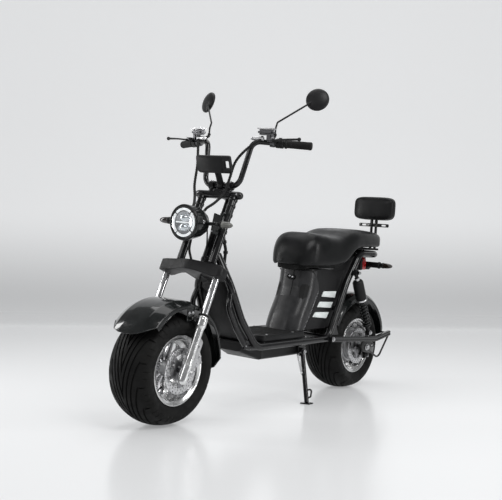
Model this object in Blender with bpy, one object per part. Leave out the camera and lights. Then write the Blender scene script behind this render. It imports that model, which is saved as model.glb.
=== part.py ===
"""Electric scooter on two fat tyres, parked on its side stand.

The scooter is drawn upright and straight ahead: X to the rider's left, Y to the rear, Z up, and the
origin on the ground midway between the axles. The empty "parked" then leans it on its stand. All
lengths are in metres.
"""

import math

import bmesh
import bpy
from mathutils import Matrix, Quaternion, Vector

# Wheels
WHEELBASE = 1.347
TYRE_RADIUS = 0.225
TYRE_WIDTH = 0.205
TYRE_CROWN_RADIUS = 0.17
TYRE_WALL = 0.013
TYRE_SIDES = 36
RIM_RADIUS = 0.1384
RIM_WIDTH = 0.176
RIM_WALL = 0.006
RIM_FLANGE = 0.0125
SPOKE_PAIRS = 5
HUB_RADIUS = 0.034
MOTOR_RADIUS = 0.088
MOTOR_WIDTH = 0.13
AXLE_RADIUS = 0.0085
DISC_RADIUS = 0.090
DISC_THICKNESS = 0.004
DISC_X = 0.096
DISC_HUB_RADIUS = 0.027

# Steering and fork
RAKE = math.radians(22.8)
TRAIL_OFFSET = 0.065
PARKED_STEER = math.radians(1.9)
FORK_X = 0.129
FORK_LEAD = 0.079
FORK_TUBE_RADIUS = 0.0145
SLIDER_RADIUS = 0.0195
SLIDER_COLLAR = 0.0225
SLIDER_BOSS = 0.0215
SLIDER_TOP_Z = 0.438
SLIDER_LOW_Z = 0.188
CLAMP_Z = 0.593
CLAMP_LOW = 0.026
CLAMP_HIGH = 0.023
CLAMP_BORE_UP = -0.005
UPPER_X = 0.083
UPPER_RADIUS = 0.0165
UPPER_TOP_Z = 0.922
STEM_RADIUS = 0.0145
HEAD_RADIUS = 0.031
RACE_RADIUS = 0.0222
RACE_WIDTH = 0.012
HEAD_LOW_Z = 0.640
HEAD_TOP_Z = 0.785

# Handlebar
BAR_RADIUS = 0.0115
BAR_CENTRE_Z = 0.960
BAR_Y = -0.381
BAR_FOOT_X = 0.088
BAR_ELBOW = (0.118, -0.345, 1.152)
BAR_END = (0.345, -0.246, 1.144)
GRIP_RADIUS = 0.0165
GRIP_LENGTH = 0.112
MIRROR_RADIUS = 0.049
CABLE_RADIUS = 0.006

# Frame
PIPE_RADIUS = 0.017
RAIL_X = 0.120
RAIL_Z = 0.286
DOWN_X = 0.105
TAIL_Z = 0.697
TAIL_REAR_Y = 0.800
TAIL_BEND = 0.080
BRACE_RADIUS = 0.012
SWING_X = 0.150
SWING_THICKNESS = 0.020
SWING_HEIGHT = 0.026
SWING_PIVOT = (0.335, 0.288)
SHOCK_HEAD = (0.517, 0.605)
SHOCK_FOOT = (0.686, 0.299)
FLOOR_TUBES = ((-0.205, 0.284), (0.190, 0.286))

# Deck, belly tray and seat pod
DECK_HALF_WIDTH = 0.118
DECK_TOP_Z = 0.333
DECK_THICKNESS = 0.029
TRAY_HALF_WIDTH = 0.100
TRAY_LOW_Z = 0.222
POD_HALF_WIDTH = 0.095
POD_WALL = 0.0035
POD_TOP_Z = 0.618
COVER_WALL = 0.003
BATTERY_LENGTH = 0.165
BATTERY_TOP_Z = 0.545

# Seat
SEAT_HINGE = (0.138, 0.629)
HINGE_EAR_X = 0.042
HINGE_PIN_RADIUS = 0.003
SEAT_REAR_Y = 0.855
PAD_HALF_WIDTH = 0.118
PAD_LOW_Z = 0.878
PAD_TOP_Z = 1.002
POST_Y = 0.930
POST_X = 0.0135
POST_RADIUS = 0.0075

# Fenders
FENDER_RADIUS = 0.274
FENDER_WALL = 0.003
FENDER_HALF_WIDTH = 0.1065
FENDER_SKIRT_RADIUS = 0.229

# Stand and parked pose
LEAN = math.radians(4.2)
STAND_PIVOT = (0.1225, 0.131, 0.242)
STAND_FOOT = (0.189, 0.095)
STAND_RADIUS = 0.009
FOOT_SIZE = (0.050, 0.036, 0.006)
SHIFT_X = -0.088
SHIFT_Y = -0.0258

GAP = 0.0003
WELD = 0.000002
HALF_BASE = WHEELBASE / 2
BEAD_SEAT = RIM_RADIUS - RIM_FLANGE
TAN_RAKE = math.tan(RAKE)
STEER_AXIS = Vector((0, math.sin(RAKE), math.cos(RAKE)))
LEG_FORWARD = FORK_LEAD * math.cos(RAKE)
FORWARD_OF_AXIS = Vector((0, -math.cos(RAKE), math.sin(RAKE)))
STEER_BASE = Vector((0, -HALF_BASE + TRAIL_OFFSET, TYRE_RADIUS))
FRONT_AXLE = Vector((0, -HALF_BASE, TYRE_RADIUS))
REAR_AXLE = Vector((0, HALF_BASE, TYRE_RADIUS))
X_AXIS = Vector((1, 0, 0))
Z_AXIS = Vector((0, 0, 1))


def clear_scene():
    """Empties the scene, so that the script starts from nothing."""
    for obj in list(bpy.data.objects):
        bpy.data.objects.remove(obj)


def material(name, colour, roughness, metallic):
    """A Principled material in the colour, roughness and metallic value of one sub-part."""
    made = bpy.data.materials.new(name)
    made.use_nodes = True
    shader = made.node_tree.nodes["Principled BSDF"]
    shader.inputs["Base Color"].default_value = (*colour, 1)
    shader.inputs["Roughness"].default_value = roughness
    shader.inputs["Metallic"].default_value = metallic
    return made


def axis_point(z):
    """The point of the steering axis at this height."""
    return Vector((0, STEER_BASE.y + (z - STEER_BASE.z) * TAN_RAKE, z))


def leg_point(x, z):
    """The point at this height on a line beside the fork legs, which run parallel to the steering axis."""
    return axis_point(z) + Vector((x, -FORK_LEAD, 0))


def raked(x, forward, up, z):
    """A point given in the steering's own directions, from its axis at height z."""
    return axis_point(z) + x * X_AXIS + forward * FORWARD_OF_AXIS + up * STEER_AXIS


def turn_to(direction):
    """The rotation that takes +Z to the direction."""
    return Z_AXIS.rotation_difference(Vector(direction)).to_matrix().to_4x4()


def bore(radius, sides):
    """The radius of a faceted hole that clears a round bar by the usual gap."""
    return (radius + GAP) / math.cos(math.pi / sides)


def bent(corners, radii, step=math.radians(23)):
    """Points along a pipe bent round its inner corners, each with its own bend radius."""
    corners = [Vector(corner) for corner in corners]
    points = [corners[0]]
    for before, corner, after, radius in zip(corners, corners[1:], corners[2:], radii):
        back = (before - corner).normalized()
        ahead = (after - corner).normalized()
        opening = back.angle(ahead)
        turn = math.pi - opening
        reach = radius / math.tan(opening / 2)
        middle = corner + (back + ahead).normalized() * radius / math.sin(opening / 2)
        spoke = corner + back * reach - middle
        axle = back.cross(ahead).normalized()
        count = max(2, math.ceil(turn / step))
        for index in range(count + 1):
            points.append(middle + Quaternion(axle, -turn * index / count) @ spoke)
    points.append(corners[-1])
    return points


def mirrored(points):
    """The same points on the other side of the scooter."""
    return [Vector((-point[0], point[1], point[2])) for point in points]


def smooth_route(points, count):
    """Points along a smooth curve through the given ones, count for each stretch."""
    points = [Vector(point) for point in points]
    ends = [points[0] * 2 - points[1], *points, points[-1] * 2 - points[-2]]
    route = []
    for a, b, c, d in zip(ends, ends[1:], ends[2:], ends[3:]):
        for index in range(count):
            t = index / count
            route.append(
                0.5 * (2 * b + (c - a) * t + (2 * a - 5 * b + 4 * c - d) * t**2)
                + 0.5 * (3 * b - a - 3 * c + d) * t**3
            )
    return [*route, points[-1]]


def skin(rings, capped=True):
    """A bmesh through rings of equally many points, closed by a face at each end."""
    bm = bmesh.new()
    rows = [[bm.verts.new(point) for point in ring] for ring in rings]
    pairs = list(zip(rows, rows[1:]))
    if not capped:
        pairs.append((rows[-1], rows[0]))
    for low, high in pairs:
        count = len(low)
        for index in range(count):
            ahead = (index + 1) % count
            bm.faces.new((low[index], low[ahead], high[ahead], high[index]))
    if capped:
        bm.faces.new(list(reversed(rows[0])))
        bm.faces.new(rows[-1])
    bmesh.ops.recalc_face_normals(bm, faces=bm.faces)
    return bm


def pipe(points, radius, sides=12, flat=1.0):
    """A bar of round section, or flattened across X, along a line of points."""
    points = [Vector(point) for point in points]
    tangents = []
    for index, _ in enumerate(points):
        before = points[max(index - 1, 0)]
        after = points[min(index + 1, len(points) - 1)]
        tangents.append((after - before).normalized())
    side = X_AXIS if abs(tangents[0].dot(X_AXIS)) < 0.9 else Z_AXIS
    rings = []
    for point, tangent in zip(points, tangents):
        side = (side - tangent * side.dot(tangent)).normalized()
        other = tangent.cross(side)
        ring = []
        for index in range(sides):
            angle = 2 * math.pi * (index + 0.5) / sides
            across = flat * radius * math.cos(angle)
            ring.append(point + across * side + radius * math.sin(angle) * other)
        rings.append(ring)
    return skin(rings)


def turned(profile, base, direction, sides=24, turn=0.5):
    """A body turned about the direction: (radius, distance) pairs, from the axis or as a closed ring."""
    place = Matrix.Translation(base) @ turn_to(direction)
    solid = profile[0][0] == 0
    bm = bmesh.new()
    rows = []
    for radius, distance in profile:
        if radius == 0:
            rows.append([bm.verts.new(place @ Vector((0, 0, distance)))])
            continue
        row = []
        for index in range(sides):
            angle = 2 * math.pi * (index + turn) / sides
            point = Vector((radius * math.cos(angle), radius * math.sin(angle), distance))
            row.append(bm.verts.new(place @ point))
        rows.append(row)
    pairs = list(zip(rows, rows[1:]))
    if not solid:
        pairs.append((rows[-1], rows[0]))
    for low, high in pairs:
        for index in range(sides):
            ahead = (index + 1) % sides
            if len(low) == 1:
                bm.faces.new((low[0], high[ahead], high[index]))
            elif len(high) == 1:
                bm.faces.new((low[index], low[ahead], high[0]))
            else:
                bm.faces.new((low[index], low[ahead], high[ahead], high[index]))
    bmesh.ops.recalc_face_normals(bm, faces=bm.faces)
    return bm


def cylinder(start, end, radius, sides=16):
    """A plain round bar between two points."""
    start = Vector(start)
    along = Vector(end) - start
    profile = [(0, 0), (radius, 0), (radius, along.length), (0, along.length)]
    return turned(profile, start, along, sides)


def block(size, centre, bevel=0.0, turn=None):
    """A box with its edges bevelled, turned by a matrix about its centre."""
    bm = bmesh.new()
    bmesh.ops.create_cube(bm, size=1)
    bmesh.ops.scale(bm, vec=size, verts=bm.verts)
    if bevel:
        edges = list(bm.edges)
        bmesh.ops.bevel(bm, geom=edges, offset=bevel, segments=1, profile=0.5, affect="EDGES")
    place = Matrix.Translation(centre)
    if turn is not None:
        place = place @ turn.to_4x4()
    bmesh.ops.transform(bm, matrix=place, verts=bm.verts)
    return bm


def slab(outline, low, high):
    """A plate: an outline of (x, y) points raised from one height to another."""
    return skin([[Vector((x, y, z)) for x, y in outline] for z in (low, high)])


def rounded_outline(half_width, front, back, front_radius, back_radius, steps=4):
    """A rounded rectangle in plan, wide by half_width each side, from front to back along Y."""
    points = []
    corners = (
        (half_width - back_radius, back - back_radius, back_radius, 0),
        (back_radius - half_width, back - back_radius, back_radius, 90),
        (front_radius - half_width, front + front_radius, front_radius, 180),
        (half_width - front_radius, front + front_radius, front_radius, 270),
    )
    for x, y, radius, start in corners:
        for index in range(steps + 1):
            angle = math.radians(start + 90 * index / steps)
            points.append((x + radius * math.cos(angle), y + radius * math.sin(angle)))
    return points


def helper(bm):
    """A hidden object that holds a shape for a Boolean."""
    mesh = bpy.data.meshes.new("helper")
    bm.to_mesh(mesh)
    bm.free()
    obj = bpy.data.objects.new("helper", mesh)
    obj.hide_render = True
    obj.display_type = "WIRE"
    bpy.context.scene.collection.objects.link(obj)
    return obj


def combine(shapes, cuts=()):
    """One mesh: the union of the shapes, less the cuts."""
    base, *others = [helper(shape) for shape in shapes]
    steps = [(other, "UNION") for other in others]
    steps += [(helper(cut), "DIFFERENCE") for cut in cuts]
    for other, operation in steps:
        modifier = base.modifiers.new(operation.lower(), "BOOLEAN")
        modifier.operation = operation
        modifier.solver = "EXACT"
        modifier.object = other
    bpy.context.view_layer.update()
    graph = bpy.context.evaluated_depsgraph_get()
    mesh = bpy.data.meshes.new_from_object(base.evaluated_get(graph))
    tidy(mesh)
    for obj in [base, *(other for other, _ in steps)]:
        bpy.data.objects.remove(obj)
    return mesh


def tidy(mesh):
    """Welds points that a Boolean leaves on top of one another, and drops faces without area."""
    bm = bmesh.new()
    bm.from_mesh(mesh)
    bmesh.ops.remove_doubles(bm, verts=bm.verts, dist=WELD)
    bmesh.ops.dissolve_degenerate(bm, edges=bm.edges, dist=WELD)
    bm.to_mesh(mesh)
    bm.free()


def add_node(name, shapes, finish, parent, origin=(0, 0, 0), cuts=()):
    """A visible piece, drawn in the scooter's own frame, with its origin at the given point."""
    mesh = combine(shapes, cuts)
    mesh.name = name
    mesh.transform(Matrix.Translation(-Vector(origin)))
    mesh.materials.clear()
    mesh.materials.append(finish)
    mesh.shade_smooth()
    mesh.set_sharp_from_angle(angle=math.radians(35))
    obj = bpy.data.objects.new(name, mesh)
    bpy.context.scene.collection.objects.link(obj)
    obj.parent = parent
    obj.location = Vector(origin) - Vector(parent["drawn_at"])
    return obj


def add_empty(name, parent, origin, turn=None):
    """A pivot: its children are drawn in the scooter's own frame and hang from this point."""
    obj = bpy.data.objects.new(name, None)
    bpy.context.scene.collection.objects.link(obj)
    obj["drawn_at"] = list(origin)
    if parent is not None:
        obj.parent = parent
        obj.location = Vector(origin) - Vector(parent["drawn_at"])
    if turn is not None:
        obj.rotation_mode = "QUATERNION"
        obj.rotation_quaternion = turn
    return obj


def tyre_profile():
    """The tyre's outer line from bead to bead, as (radius, x): bead, wall and rounded crown."""
    half = TYRE_WIDTH / 2
    edge = RIM_WIDTH / 2
    bead = [(BEAD_SEAT + GAP, edge - 0.0055), (RIM_RADIUS + 0.003, edge - 0.004)]
    side = [*bead, (RIM_RADIUS + 0.012, half - 0.008), (RIM_RADIUS + 0.036, half)]
    crown = []
    for share in (0.88, 0.64, 0.34):
        x = share * half
        drop = TYRE_CROWN_RADIUS - math.sqrt(TYRE_CROWN_RADIUS**2 - x**2)
        crown.append((TYRE_RADIUS - drop, x))
    right = side + crown
    left = [(radius, -x) for radius, x in reversed(right)]
    return right + [(TYRE_RADIUS, 0)] + left


def tyre(axle):
    """The tyre's casing, open towards the rim."""
    outer = tyre_profile()
    inner = []
    for radius, x in reversed(outer[3:-3:2]):
        inner.append((radius - TYRE_WALL, x * (1 - 2 * TYRE_WALL / TYRE_WIDTH)))
    foot = BEAD_SEAT + GAP
    well = RIM_WIDTH / 2 - 0.022
    ring = [*outer, (foot, -well), *inner, (foot, well)]
    return turned(ring, axle, X_AXIS, TYRE_SIDES)


def rim_profile():
    """The rim's closed section, as (radius, x): flanges, bead seats and a drop centre."""
    edge = RIM_WIDTH / 2
    seat = BEAD_SEAT
    well = RIM_RADIUS - 0.030
    outer = [(RIM_RADIUS, edge), (RIM_RADIUS, edge - 0.0035), (seat, edge - 0.005), (seat, 0.045), (well, 0.03)]
    inner = [(well - RIM_WALL, 0.027), (seat - RIM_WALL, 0.042), (seat - RIM_WALL, edge - 0.004)]
    ring = outer + [(radius, -x) for radius, x in reversed(outer)]
    ring += [(radius, -x) for radius, x in reversed(inner)] + inner
    return ring


def spoke(axle, hub_radius, angle, lean, width):
    """One tapered arm of a spoke pair, from the hub to the rim's well."""
    root = hub_radius - 0.006
    tip = RIM_RADIUS - 0.031
    rings = []
    for share in (0.0, 1.0):
        radius = root + (tip - root) * share
        turn = angle + lean * share
        thick = 0.030 - 0.012 * share
        half = width * (1 - 0.25 * share)
        middle = axle + Vector((0, radius * math.sin(turn), radius * math.cos(turn)))
        across = Vector((0, math.cos(turn), -math.sin(turn)))
        corners = ((1, 1), (-1, 1), (-1, -1), (1, -1))
        rings.append([middle + half * a * across + thick * b * X_AXIS for a, b in corners])
    return skin(rings)


def wheel(axle, hub_radius, hub_width):
    """A cast rim with its spoke pairs and its hub, bored for the axle."""
    shapes = [turned(rim_profile(), axle, X_AXIS, TYRE_SIDES)]
    half = hub_width / 2
    hole = bore(AXLE_RADIUS, 18)
    carrier = DISC_X - DISC_THICKNESS / 2 - GAP
    ring = [(hub_radius, half - 0.006), (hub_radius - 0.006, half), (DISC_HUB_RADIUS, half)]
    ring += [(DISC_HUB_RADIUS, carrier), (hole, carrier)]
    ring += [(hole, -half), (hub_radius - 0.006, -half), (hub_radius, 0.006 - half)]
    shapes.append(turned(ring, axle, X_AXIS, 18))
    for index in range(SPOKE_PAIRS):
        angle = 2 * math.pi * index / SPOKE_PAIRS
        for side in (-1, 1):
            shapes.append(spoke(axle, hub_radius, angle + side * 0.27, -side * 0.05, 0.0085))
    return shapes


def disc(axle):
    """A brake disc with a ring of holes, on five arms bolted to the hub."""
    low = DISC_X - DISC_THICKNESS / 2
    high = DISC_X + DISC_THICKNESS / 2
    width = 0.026
    band = [(DISC_RADIUS, high), (DISC_RADIUS - width, high), (DISC_RADIUS - width, low), (DISC_RADIUS, low)]
    shapes = [turned(band, axle, X_AXIS, 24)]
    hole = bore(AXLE_RADIUS, 14)
    hub = [(DISC_HUB_RADIUS, high), (hole, high), (hole, low), (DISC_HUB_RADIUS, low)]
    shapes.append(turned(hub, axle, X_AXIS, 14))
    for index in range(5):
        turn = Matrix.Rotation(2 * math.pi * (index + 0.3) / 5, 4, "X")
        reach = DISC_RADIUS - width + 0.004
        size = (DISC_THICKNESS * 0.8, 0.014, reach - 0.022)
        middle = Vector((DISC_X, 0, (reach + 0.022) / 2))
        arm = block(size, middle)
        bmesh.ops.transform(arm, matrix=Matrix.Translation(axle) @ turn, verts=arm.verts)
        shapes.append(arm)
    return shapes


def caliper(axle, angle):
    """A brake caliper astride the disc at this angle from straight up, towards the rear: (body, slot)."""
    slot = DISC_THICKNESS / 2 + 0.005
    inside = DISC_X - slot - 0.011
    outside = DISC_X + slot + 0.013
    turn = Matrix.Rotation(-angle, 3, "X")
    middle = axle + turn @ Vector((0, 0, DISC_RADIUS - 0.004))
    body = block((outside - inside, 0.066, 0.044), middle + (inside + outside) / 2 * X_AXIS, 0.007, turn)
    cut_middle = axle + turn @ Vector((DISC_X, 0, DISC_RADIUS - 0.027))
    cut = block((2 * slot, 0.09, 0.066), cut_middle, 0, turn)
    return body, cut


def fender_ring(axle, angle, half_width, skirt, crown, wall):
    """One section of a fender: a rounded channel over the tyre at this angle from straight up."""
    outward = Vector((0, math.sin(angle), math.cos(angle)))
    ring = []
    shares = (1.0, 1.0, 0.9, 0.62, 0.25)
    heights = (0.0, 0.55, 0.86, 0.97, 1.0)
    outer = [(share, height) for share, height in zip(shares, heights)]
    line = [(x, h) for x, h in outer] + [(-x, h) for x, h in reversed(outer)]
    for x, height in line:
        radius = skirt + (crown - skirt) * height
        ring.append(axle + x * half_width * X_AXIS + radius * outward)
    for x, height in reversed(line):
        radius = skirt + (crown - wall - skirt) * height
        ring.append(axle + x * (half_width - wall) * X_AXIS + radius * outward)
    return ring


def fender(axle, sections):
    """A fender swept round the axle through (angle, half width, skirt radius, crown radius) sections."""
    rings = []
    for angle, half_width, skirt, crown in sections:
        rings.append(fender_ring(axle, math.radians(angle), half_width, skirt, crown, FENDER_WALL))
    return skin(rings)


def frame_pipe():
    """The left main pipe: head, down tube, floor rail, side of the pod and round to the tail."""
    corners = (
        (0.014, -0.392, 0.672),
        (0.092, -0.386, 0.545),
        (DOWN_X, -0.318, 0.402),
        (RAIL_X, -0.225, RAIL_Z),
        (RAIL_X, 0.349, RAIL_Z),
        (RAIL_X, 0.486, 0.557),
        (RAIL_X, 0.590, TAIL_Z),
        (RAIL_X, TAIL_REAR_Y, TAIL_Z),
        (0, TAIL_REAR_Y, TAIL_Z),
    )
    return bent(corners, (0.12, 0.30, 0.08, 0.06, 0.25, 0.07, TAIL_BEND))


def frame_brace():
    """The left lower tube, ahead of the down tube and bolted to the floor rail's corner."""
    corners = (
        (0.090, -0.380, 0.530),
        (0.100, -0.405, 0.462),
        (0.106, -0.352, 0.372),
        (0.112, -0.285, 0.288),
        (RAIL_X - 0.002, -0.160, RAIL_Z - 0.004),
    )
    return bent(corners, (0.06, 0.20, 0.06))


def build_frame(root, steel):
    """The welded frame, its head tube, cross tubes, corner plates and the lugs that carry other pieces."""
    left = frame_pipe()
    shapes = [pipe(left + list(reversed(mirrored(left)))[1:], PIPE_RADIUS, 10)]
    head = Vector(axis_point(HEAD_LOW_Z))
    length = (HEAD_TOP_Z - HEAD_LOW_Z) / math.cos(RAKE)
    shapes.append(cylinder(head, head + STEER_AXIS * length, HEAD_RADIUS, 18))
    for side in (-1, 1):
        brace = frame_brace() if side > 0 else mirrored(frame_brace())
        shapes.append(pipe(brace, BRACE_RADIUS, 8))
        lug = Vector((side * 0.1275, SWING_PIVOT[0], SWING_PIVOT[1]))
        out = Vector((side * (SWING_X - SWING_THICKNESS / 2 - GAP), lug.y, lug.z))
        shapes.append(cylinder(lug, out, 0.013, 12))
        shapes.append(block((0.008, 0.070, 0.040), (side * 0.113, -0.268, 0.300), 0.003))
        shock_lug = Vector((side * 0.125, *SHOCK_HEAD))
        shapes.append(cylinder(shock_lug, shock_lug + side * 0.0485 * X_AXIS, 0.008, 12))
    for y, z in (*FLOOR_TUBES, (0.420, 0.427), (0.590, 0.690)):
        shapes.append(cylinder((-RAIL_X, y, z), (RAIL_X, y, z), 0.011, 10))
    shapes.append(block((0.008, 0.040, 0.062), (STAND_PIVOT[0] - 0.012 - GAP, STAND_PIVOT[1], 0.250), 0.002))
    pin = Vector(STAND_PIVOT) - 0.012 * X_AXIS
    shapes.append(cylinder(pin, pin + 0.026 * X_AXIS, 0.006, 14))
    hole = cylinder(head - STEER_AXIS * 0.01, head + STEER_AXIS * (length + 0.01), bore(RACE_RADIUS, 18), 18)
    return add_node("frame", shapes, steel, root, cuts=[hole])


def build_deck(root, plastic):
    """The footboard on the rails, narrower in front where it lies between the down tubes."""
    wide = DECK_HALF_WIDTH
    slim = DOWN_X - PIPE_RADIUS - 0.005
    outline = [(wide, 0.150), (-wide, 0.150), (-wide, -0.165), (-slim, -0.185), (-slim, -0.250)]
    outline += [(slim, -0.250), (slim, -0.185), (wide, -0.165)]
    low = DECK_TOP_Z - DECK_THICKNESS
    plate = slab(outline, low, DECK_TOP_Z)
    bevel_edges(plate, 0.006, lambda edge: all(v.co.z > low + 0.001 for v in edge.verts))
    return add_node("deck", [plate], plastic, root)


def bevel_edges(bm, width, chosen, segments=2):
    """Rounds the chosen edges of a shape."""
    edges = [edge for edge in bm.edges if chosen(edge)]
    bmesh.ops.bevel(bm, geom=edges, offset=width, segments=segments, profile=0.5, affect="EDGES")


def build_tray(root, plastic):
    """The belly tray under the deck, its front sloping up between the braces."""
    top = DECK_TOP_Z - DECK_THICKNESS - GAP
    sections = (
        (-0.250, 0.070, 0.258),
        (-0.150, TRAY_HALF_WIDTH, TRAY_LOW_Z),
        (0.130, TRAY_HALF_WIDTH, TRAY_LOW_Z),
        (0.200, 0.090, 0.232),
    )
    rings = []
    for y, half, low in sections:
        corners = ((half, low + 0.012), (half, top), (-half, top), (-half, low + 0.012), (0.012 - half, low), (half - 0.012, low))
        rings.append([Vector((x, y, z)) for x, z in corners])
    cuts = [cylinder((-0.2, y, z), (0.2, y, z), 0.011 + GAP, 10) for y, z in FLOOR_TUBES]
    return add_node("belly_tray", [skin(rings)], plastic, root, cuts=cuts)


def pod_front(z):
    """How far forward the pod's cover reaches at this height, in its middle."""
    low = (0.333, 0.092)
    knee = (0.470, 0.140)
    high = (0.618, 0.182)
    start, end = (low, knee) if z < knee[0] else (knee, high)
    return start[1] + (z - start[0]) * (end[1] - start[1]) / (end[0] - start[0])


def pod_rear(z):
    """The pod's rear edge, along the slanted frame pipes."""
    return 0.372 + (z - 0.333) * 0.505


def build_pod(root, black, gloss):
    """The pod under the seat: an open-topped shell that holds the battery, and its glossy front cover."""
    low = DECK_TOP_Z + GAP
    heights = (low, 0.400, 0.470, 0.545, POD_TOP_Z)
    outer = []
    inner = []
    floor = low + POD_WALL
    for z in heights:
        front = pod_front(z) + COVER_WALL + GAP
        outline = rounded_outline(POD_HALF_WIDTH, front, pod_rear(z), 0.045, 0.020)
        outer.append([Vector((x, y, z)) for x, y in outline])
    for z in (floor, *heights[1:-1], POD_TOP_Z + 0.01):
        front = pod_front(z) + COVER_WALL + GAP + POD_WALL
        half = POD_HALF_WIDTH - POD_WALL
        outline = rounded_outline(half, front, pod_rear(z) - POD_WALL, 0.042, 0.017)
        inner.append([Vector((x, y, z)) for x, y in outline])
    cross = cylinder((-0.2, 0.420, 0.427), (0.2, 0.420, 0.427), 0.012, 10)
    add_node("pod_shell", [skin(outer), *seat_hinge_bracket()], black, root, cuts=[skin(inner), cross])
    rings = []
    sections = ((low, 0.165), (0.400, 0.208), (0.470, 0.247), (0.520, 0.276), (0.560, 0.262), (0.595, 0.232))
    for z, edge in sections:
        front = pod_front(z)
        rings.append(cover_section(z, front, edge))
    add_node("pod_cover", [skin(rings)], gloss, root)
    battery_width = 2 * (POD_HALF_WIDTH - POD_WALL - GAP)
    foot_z = floor + GAP
    rings = []
    for z in (foot_z, BATTERY_TOP_Z):
        front = pod_front(z) + COVER_WALL + POD_WALL + 0.012
        rings.append([Vector((x, y, z)) for x, y in rounded_outline(battery_width / 2, front, front + BATTERY_LENGTH, 0.045, 0.020)])
    add_node("battery", [skin(rings)], black, root)


def seat_hinge_bracket():
    """A shelf on the pod's front with two ears, and the pin between them that the seat turns on."""
    y, z = SEAT_HINGE
    shelf = block((2 * HINGE_EAR_X, 0.050, 0.004), (0, y + 0.033, z - 0.020))
    shapes = [shelf, cylinder((-HINGE_EAR_X, y, z), (HINGE_EAR_X, y, z), HINGE_PIN_RADIUS, 10)]
    for side in (-1, 1):
        shapes.append(block((0.005, 0.066, 0.030), (side * (HINGE_EAR_X - 0.0025), y + 0.025, z - 0.009), 0.002))
    return shapes


def cover_section(z, front, edge):
    """One level of the pod's cover: round the front and back along both sides to the edge."""
    points = []
    for thick, order in ((COVER_WALL, 1), (0, -1)):
        half = POD_HALF_WIDTH + GAP + thick
        corner = 0.045 + thick
        face = front + COVER_WALL - thick
        line = [(half, edge)]
        for index in range(5):
            angle = math.radians(90 * index / 4)
            x = half - corner + corner * math.cos(angle)
            line.append((x, face + corner - corner * math.sin(angle)))
        line += [(-x, y) for x, y in reversed(line)]
        points += line[::order]
    return [Vector((x, y, z)) for x, y in points]


def build_seat(seat, leather, plastic):
    """The hinged seat: a cushion with a low rider's part and a raised rear, on its pan."""
    sections = (
        (0.120, 0.070, 0.668, 0.735),
        (0.128, 0.092, 0.648, 0.768),
        (0.155, 0.112, 0.640, 0.789),
        (0.230, 0.128, 0.640, 0.786),
        (0.330, 0.142, 0.642, 0.777),
        (0.400, 0.150, 0.650, 0.784),
        (0.455, 0.152, 0.668, 0.806),
        (0.540, 0.150, 0.724, 0.817),
        (0.680, 0.138, 0.726, 0.817),
        (0.790, 0.122, 0.727, 0.811),
        (0.840, 0.095, 0.730, 0.800),
        (SEAT_REAR_Y, 0.065, 0.738, 0.780),
    )
    rings = [cushion_section(*section) for section in sections]
    origin = (0, *SEAT_HINGE)
    add_node("seat_cushion", [skin(rings)], leather, seat, origin)
    low = SEAT_HINGE[1] - 0.004
    plate = []
    for y, half, top in ((0.202, 0.090, 0.6404), (0.230, 0.095, 0.6404), (0.330, 0.098, 0.6423), (0.400, 0.100, 0.6503)):
        plate.append([Vector((half * s, y, z)) for s, z in ((1, low), (1, top), (-1, top), (-1, low))])
    reach = HINGE_EAR_X - 0.005 - GAP
    knuckle = cylinder((-reach, *SEAT_HINGE), (reach, *SEAT_HINGE), 0.007, 14)
    strap = block((2 * reach - 0.010, 0.078, 0.005), (0, SEAT_HINGE[0] + 0.036, SEAT_HINGE[1] + 0.001))
    hole = cylinder((-HINGE_EAR_X, *SEAT_HINGE), (HINGE_EAR_X, *SEAT_HINGE), bore(HINGE_PIN_RADIUS, 10), 10)
    add_node("seat_pan", [skin(plate), knuckle, strap], plastic, seat, origin, cuts=[hole])


def cushion_section(y, half, low, high):
    """One rounded section across the cushion."""
    ring = []
    middle = (low + high) / 2
    tall = (high - low) / 2
    for index in range(16):
        angle = 2 * math.pi * (index + 0.5) / 16
        x = math.copysign(abs(math.cos(angle)) ** 0.45, math.cos(angle))
        z = math.copysign(abs(math.sin(angle)) ** 0.5, math.sin(angle))
        ring.append(Vector((half * x, y, middle + tall * z)))
    return ring


def build_backrest(root, steel, leather):
    """The backrest: two posts on a tongue behind the seat, a slotted cross plate and the pad."""
    tongue_low = TAIL_Z + PIPE_RADIUS + GAP
    tongue = block((0.060, 0.160, 0.005), (0, 0.862, tongue_low + 0.0025))
    plate_z = 0.850
    plate = block((0.180, 0.005, 0.019), (0, POST_Y, plate_z), 0.0015)
    shapes = [tongue, plate]
    for side in (-1, 1):
        foot = Vector((side * POST_X, POST_Y, tongue_low + 0.002))
        shapes.append(cylinder(foot, (foot.x, foot.y, PAD_LOW_Z - GAP), POST_RADIUS, 12))
    cuts = [block((0.024, 0.02, 0.008), (side * 0.062, POST_Y, plate_z)) for side in (-1, 1)]
    add_node("backrest_frame", shapes, steel, root, cuts=cuts)
    rings = []
    for share, grow in ((0.0, 0.86), (0.2, 1.0), (0.8, 1.0), (1.0, 0.90)):
        y = POST_Y + 0.020 - 0.050 * share
        ring = []
        middle = (PAD_LOW_Z + PAD_TOP_Z) / 2
        tall = (PAD_TOP_Z - PAD_LOW_Z) / 2
        for index in range(20):
            angle = 2 * math.pi * (index + 0.5) / 20
            x = math.copysign(abs(math.cos(angle)) ** 0.42, math.cos(angle))
            z = math.copysign(abs(math.sin(angle)) ** 0.42, math.sin(angle))
            ring.append(Vector((PAD_HALF_WIDTH * x * grow, y, middle + tall * z * grow)))
        rings.append(ring)
    add_node("backrest_pad", [skin(rings)], leather, root)


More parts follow.
